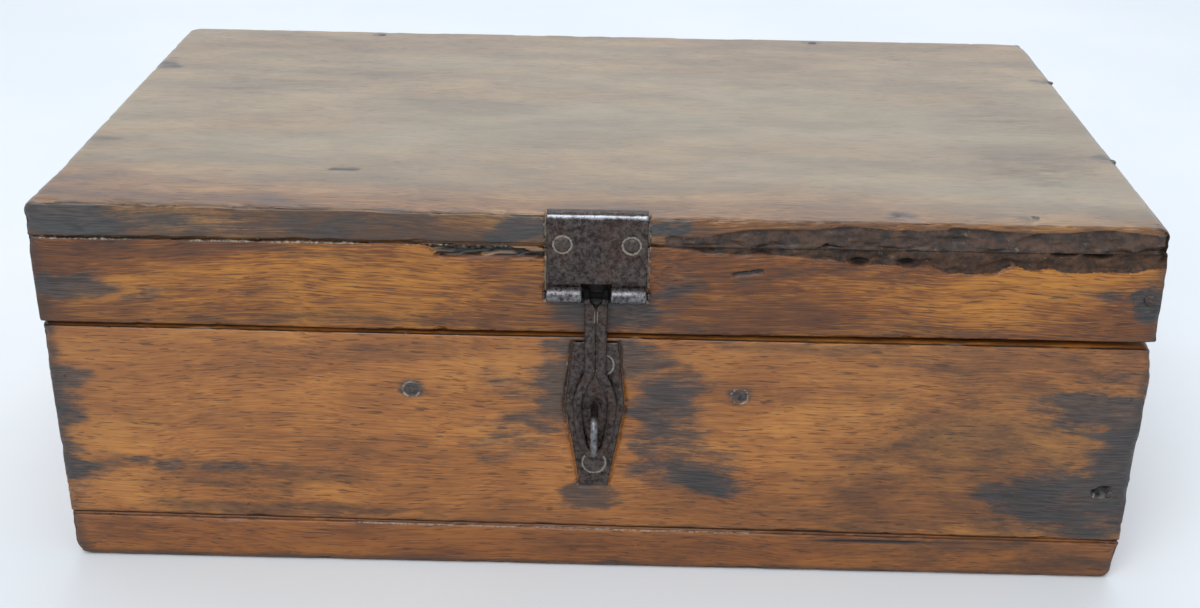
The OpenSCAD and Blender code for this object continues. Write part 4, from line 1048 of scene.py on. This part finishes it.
def nail_tree():
    """Geometry Nodes: a hammered nail at each point, turned to its aim, each one a little different."""
    tree = bpy.data.node_groups.new("forged_nails", "GeometryNodeTree")
    sizes = {"Head Radius": 0.00215, "Head Rise": 0.0009, "Shank Radius": 0.0009, "Shank Length": 0.021,
             "Raggedness": 0.00045}
    tree.interface.new_socket("Geometry", in_out="INPUT", socket_type="NodeSocketGeometry")
    for name, value in sizes.items():
        tree.interface.new_socket(name, in_out="INPUT", socket_type="NodeSocketFloat").default_value = value
    tree.interface.new_socket("Seed", in_out="INPUT", socket_type="NodeSocketInt").default_value = 4
    tree.interface.new_socket("Iron", in_out="INPUT", socket_type="NodeSocketMaterial")
    tree.interface.new_socket("Geometry", in_out="OUTPUT", socket_type="NodeSocketGeometry")
    add = partial(add_node, tree)
    given = add("NodeGroupInput")
    # Head: a low dome, made from a ball pressed flat
    ball = add("GeometryNodeMeshUVSphere", {"Segments": 20, "Rings": 10, "Radius": 1.0})[0]
    radius = given["Head Radius"]
    dome = add("ShaderNodeCombineXYZ", (radius, radius, given["Head Rise"]))[0]
    head = add("GeometryNodeTransform", {"Geometry": ball, "Scale": dome})[0]
    low = add(MATH, (given["Shank Length"], -1.0), operation="MULTIPLY")[0]
    low = add("ShaderNodeCombineXYZ", {"Z": low})[0]
    shank = add("GeometryNodeMeshCone",
                {"Vertices": 10, "Radius Top": given["Shank Radius"], "Radius Bottom": 0.0002,
                 "Depth": given["Shank Length"]})[0]
    shank = add("GeometryNodeTransform", {"Geometry": shank, "Translation": low})[0]
    both = add("GeometryNodeJoinGeometry")[0]
    for part in (head, shank):
        tree.links.new(part, both.node.inputs[0])
    aim = add("GeometryNodeInputNamedAttribute", {"Name": "aim"}, data_type="FLOAT_VECTOR")[0]
    size = add("GeometryNodeInputNamedAttribute", {"Name": "size"}, data_type="FLOAT")[0]
    turn = add("FunctionNodeAlignEulerToVector", {"Vector": aim}, axis="Z")[0]
    spin = add("FunctionNodeRandomValue",
               {0: (-0.12, -0.12, 0.0), 1: (0.12, 0.12, 6.28), "Seed": given["Seed"]},
               data_type="FLOAT_VECTOR")[0]
    vary = add("FunctionNodeRandomValue", {2: 0.90, 3: 1.06, "Seed": given["Seed"]}, data_type="FLOAT")[1]
    turn = add("FunctionNodeRotateEuler", {"Rotation": turn, "Rotate By": spin}, space="LOCAL")[0]
    wide = add(MATH, (size, vary), operation="MULTIPLY")[0]
    wide = add("ShaderNodeCombineXYZ", (wide, wide, 1.0))[0]
    placed = add("GeometryNodeInstanceOnPoints",
                 {"Points": given["Geometry"], "Instance": both, "Rotation": turn, "Scale": wide})[0]
    real = add("GeometryNodeRealizeInstances", {"Geometry": placed})[0]
    # Hammered outline: each point is shifted by a slow noise
    lumps = add(NOISE,
                {"Vector": add("GeometryNodeInputPosition")[0], "Scale": 420.0, "Detail": 1.0})["Color"]
    lumps = add(VECTOR, (lumps, (0.5, 0.5, 0.5)), operation="SUBTRACT")[0]
    lumps = add(VECTOR, {"Vector": lumps, "Scale": given["Raggedness"]}, operation="SCALE")[0]
    moved = add("GeometryNodeSetPosition", {"Geometry": real, "Offset": lumps})[0]
    smooth = add("GeometryNodeSetShadeSmooth", {"Geometry": moved})[0]
    painted = add("GeometryNodeSetMaterial", {"Geometry": smooth, "Material": given["Iron"]})[0]
    add("NodeGroupOutput", (painted,))
    return tree


nail_nodes = nail_tree()


def nails(name, points, body, size=1.0, shank=21.0, rise=0.65, dusty=0.12):
    """Nails at (place, aim) pairs in mm, as one plain mesh."""
    mesh = bpy.data.meshes.new(name + "_points")
    mesh.from_pydata([tuple(v * MM for v in at) for at, aim in points], [], [])
    aims = mesh.attributes.new("aim", "FLOAT_VECTOR", "POINT")
    aims.data.foreach_set("vector", [c for at, aim in points for c in aim])
    mesh.attributes.new("size", "FLOAT", "POINT").data.foreach_set("value", [size] * len(points))
    seedling = bpy.data.objects.new(name + "_points", mesh)
    bpy.context.scene.collection.objects.link(seedling)
    modifier = seedling.modifiers.new("nails", "NODES")
    modifier.node_group = nail_nodes
    socket = {s.name: s.identifier for s in nail_nodes.interface.items_tree if s.in_out == "INPUT"}
    modifier[socket["Shank Length"]] = shank * MM / 2
    modifier[socket["Head Rise"]] = rise * MM
    modifier[socket["Iron"]] = nail_iron
    ready = seedling.evaluated_get(bpy.context.evaluated_depsgraph_get())
    solid = bpy.data.meshes.new_from_object(ready)
    solid.name = name
    bpy.data.objects.remove(seedling)
    obj = bpy.data.objects.new(name, solid)
    bpy.context.scene.collection.objects.link(obj)
    if not solid.materials:
        solid.materials.append(nail_iron)
    for key in ("polish_and_highlight", "dust"):
        layer = solid.attributes.get(key) or solid.attributes.new(key, "FLOAT", "POINT")
        layer.data.foreach_set("value", [0.15 if key == "polish_and_highlight" else dusty] * len(solid.vertices))
    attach(obj, body)
    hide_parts(name)


FRONT, BACK, UP, DOWN = (0, -1, 0), (0, 1, 0), (0, 0, 1), (0, 0, -1)


def through(points, sunk=0.6):
    """The same nails in the front and the back of the box, where they keep clear of the rounded corners."""
    behind = [(x * (0.985 if abs(x) > 140 else 1.0), z) for x, z in points]
    return ([((x, -HALF_D + sunk, z), FRONT) for x, z in points]
            + [((x, HALF_D - sunk, z), BACK) for x, z in behind])


nails("wall_corner_nails", through(WALL_NAILS, 0.7), "box", size=0.9)
nails("divider_nails", through(DIVIDER_NAILS), "box")
nails("lid_corner_nails", through(LID_NAILS, 0.7), "lid", size=0.9)
edge_nails = [(x, -EDGE_NAIL_Y) for x in FRONT_EDGE_NAILS] + [(x, EDGE_NAIL_Y) for x in BACK_EDGE_NAILS]
end_nails = [(s * END_NAIL_X, y) for s in (-1, 1) for y in END_NAIL_YS]
lid_nails = [((x, y, TOP - 0.6), UP) for x, y in edge_nails] + [((x, y, TOP - 1.0), UP) for x, y in end_nails]
nails("lid_board_nails", lid_nails, "lid", dusty=0.5)
bottom_places = [(x, s * EDGE_NAIL_Y) for s in (-1, 1) for x in (-101.5, 0, 101.5)]
bottom_places += [(s * END_NAIL_X, 0) for s in (-1, 1)]
nails("bottom_nails", [((x, y, 1.0), DOWN) for x, y in bottom_places], "box", shank=26.0)
leaf_face, plate_face = HALF_D + 0.6, HALF_D + 0.3
hasp_nails = [((HASP_X + s * LEAF_NAIL_X, -leaf_face + 0.1, HASP_Z + HASP_NAIL_RISE), FRONT) for s in (-1, 1)]
nails("hasp_leaf_nails", hasp_nails, "lid", shank=7.0, rise=0.5)
plate_nails = [((x, -plate_face + 0.22, z), FRONT) for x, z in PLATE_NAILS]
nails("staple_plate_nails", plate_nails, "box", size=1.36, shank=7.0, rise=0.4)
for side, word in ((-1, "left"), (1, "right")):
    for body, up in (("lid", 1), ("box", -1)):
        z = HINGE_Z + up * HINGE_NAIL_RISE
        places = [((side * HINGE_X + s * LEAF_NAIL_X, leaf_face - 0.15, z), BACK) for s in (-1, 1)]
        nails("%s_hinge_%s_nails" % (word, body), places, body, shank=7.0, rise=0.42)


# Camera, floor and light

def paper():
    """Matt white studio paper, faintly marked."""
    material, tree, shader, place, marks = start_material("matt_white_paper")
    mm = add_node(tree, MAPPING, {"Vector": place, "Scale": (PER_METRE,) * 3})[0]
    cloud = add_node(tree, NOISE, {"Vector": mm, "Scale": 0.006, "Detail": 4.0})["Fac"]
    cloud = add_node(tree, RANGE, (cloud, 0.35, 0.7), **SMOOTH)[0]
    colour = add_node(tree, MIX, {FACTOR: cloud, UNDER: linear("#edf2f6"), OVER: linear("#f2f6fa")},
                      **COLOURS)[MIXED]
    tree.links.new(colour, shader["Base Color"])
    shader["Roughness"].default_value = 0.7
    shader["Specular IOR Level"].default_value = 0.3
    return material


floor_mesh = bpy.data.meshes.new("floor")
floor_mesh.from_pydata([(-4, -3, -0.0002), (4, -3, -0.0002), (4, 5, -0.0002), (-4, 5, -0.0002)], [],
                       [(0, 1, 2, 3)])
floor_mesh.materials.append(paper())
floor = bpy.data.objects.new("floor", floor_mesh)
bpy.context.scene.collection.objects.link(floor)

camera_data = bpy.data.cameras.new("camera")
camera_data.sensor_width = 36
camera_data.lens = 36 * 1554.4 / 1200
camera_data.clip_start = 0.01
camera = bpy.data.objects.new("camera", camera_data)
yaw, pitch, roll = math.radians(-0.71), math.radians(25.63), math.radians(0.93)
ahead = Vector((math.sin(yaw) * math.cos(pitch), math.cos(yaw) * math.cos(pitch), -math.sin(pitch)))
across = Vector((math.cos(yaw), -math.sin(yaw), 0))
above = across.cross(ahead)
right = math.cos(roll) * across + math.sin(roll) * above
above = -math.sin(roll) * across + math.cos(roll) * above
turned = Matrix((right, above, -ahead)).transposed().to_4x4()
camera.matrix_world = Matrix.Translation((0.00545, -0.4453, 0.2561)) @ turned
bpy.context.scene.collection.objects.link(camera)
bpy.context.scene.camera = camera


def lamp(name, place, aim, size, watts, tint):
    """Soft box: a square area lamp turned to a point on the object."""
    data = bpy.data.lights.new(name, "AREA")
    data.shape = "SQUARE"
    data.size = size
    data.energy = watts
    data.color = linear(tint)[:3]
    obj = bpy.data.objects.new(name, data)
    turn = (Vector(aim) - Vector(place)).to_track_quat("-Z", "Y")
    obj.matrix_world = Matrix.Translation(place) @ turn.to_matrix().to_4x4()
    bpy.context.scene.collection.objects.link(obj)


lamp("key_front", (-0.35, -1.1, 1.35), (0, 0, 0.05), 1.2, 15, "#ffffff")
lamp("top_back", (0.1, 0.8, 1.5), (0, 0, 0.1), 1.2, 9, "#f4f8ff")

world = bpy.data.worlds.new("studio")
bpy.context.scene.world = world
world.use_nodes = True
sky = world.node_tree
background = sky.nodes["Background"].inputs
background["Color"].default_value = linear("#eef5fc")
# White behind the box and in its reflections, and a weaker light on it
rays = add_node(sky, "ShaderNodeLightPath")
seen = rays["Is Camera Ray"]
for ray in ("Is Glossy Ray", "Is Transmission Ray"):
    seen = add_node(sky, MATH, (seen, rays[ray]), operation="MAXIMUM")[0]
level = add_node(sky, RANGE, {"Value": seen, "To Min": 0.60, "To Max": 1.0})[0]
sky.links.new(level, background["Strength"])

bpy.context.scene.view_settings.view_transform = "Standard"
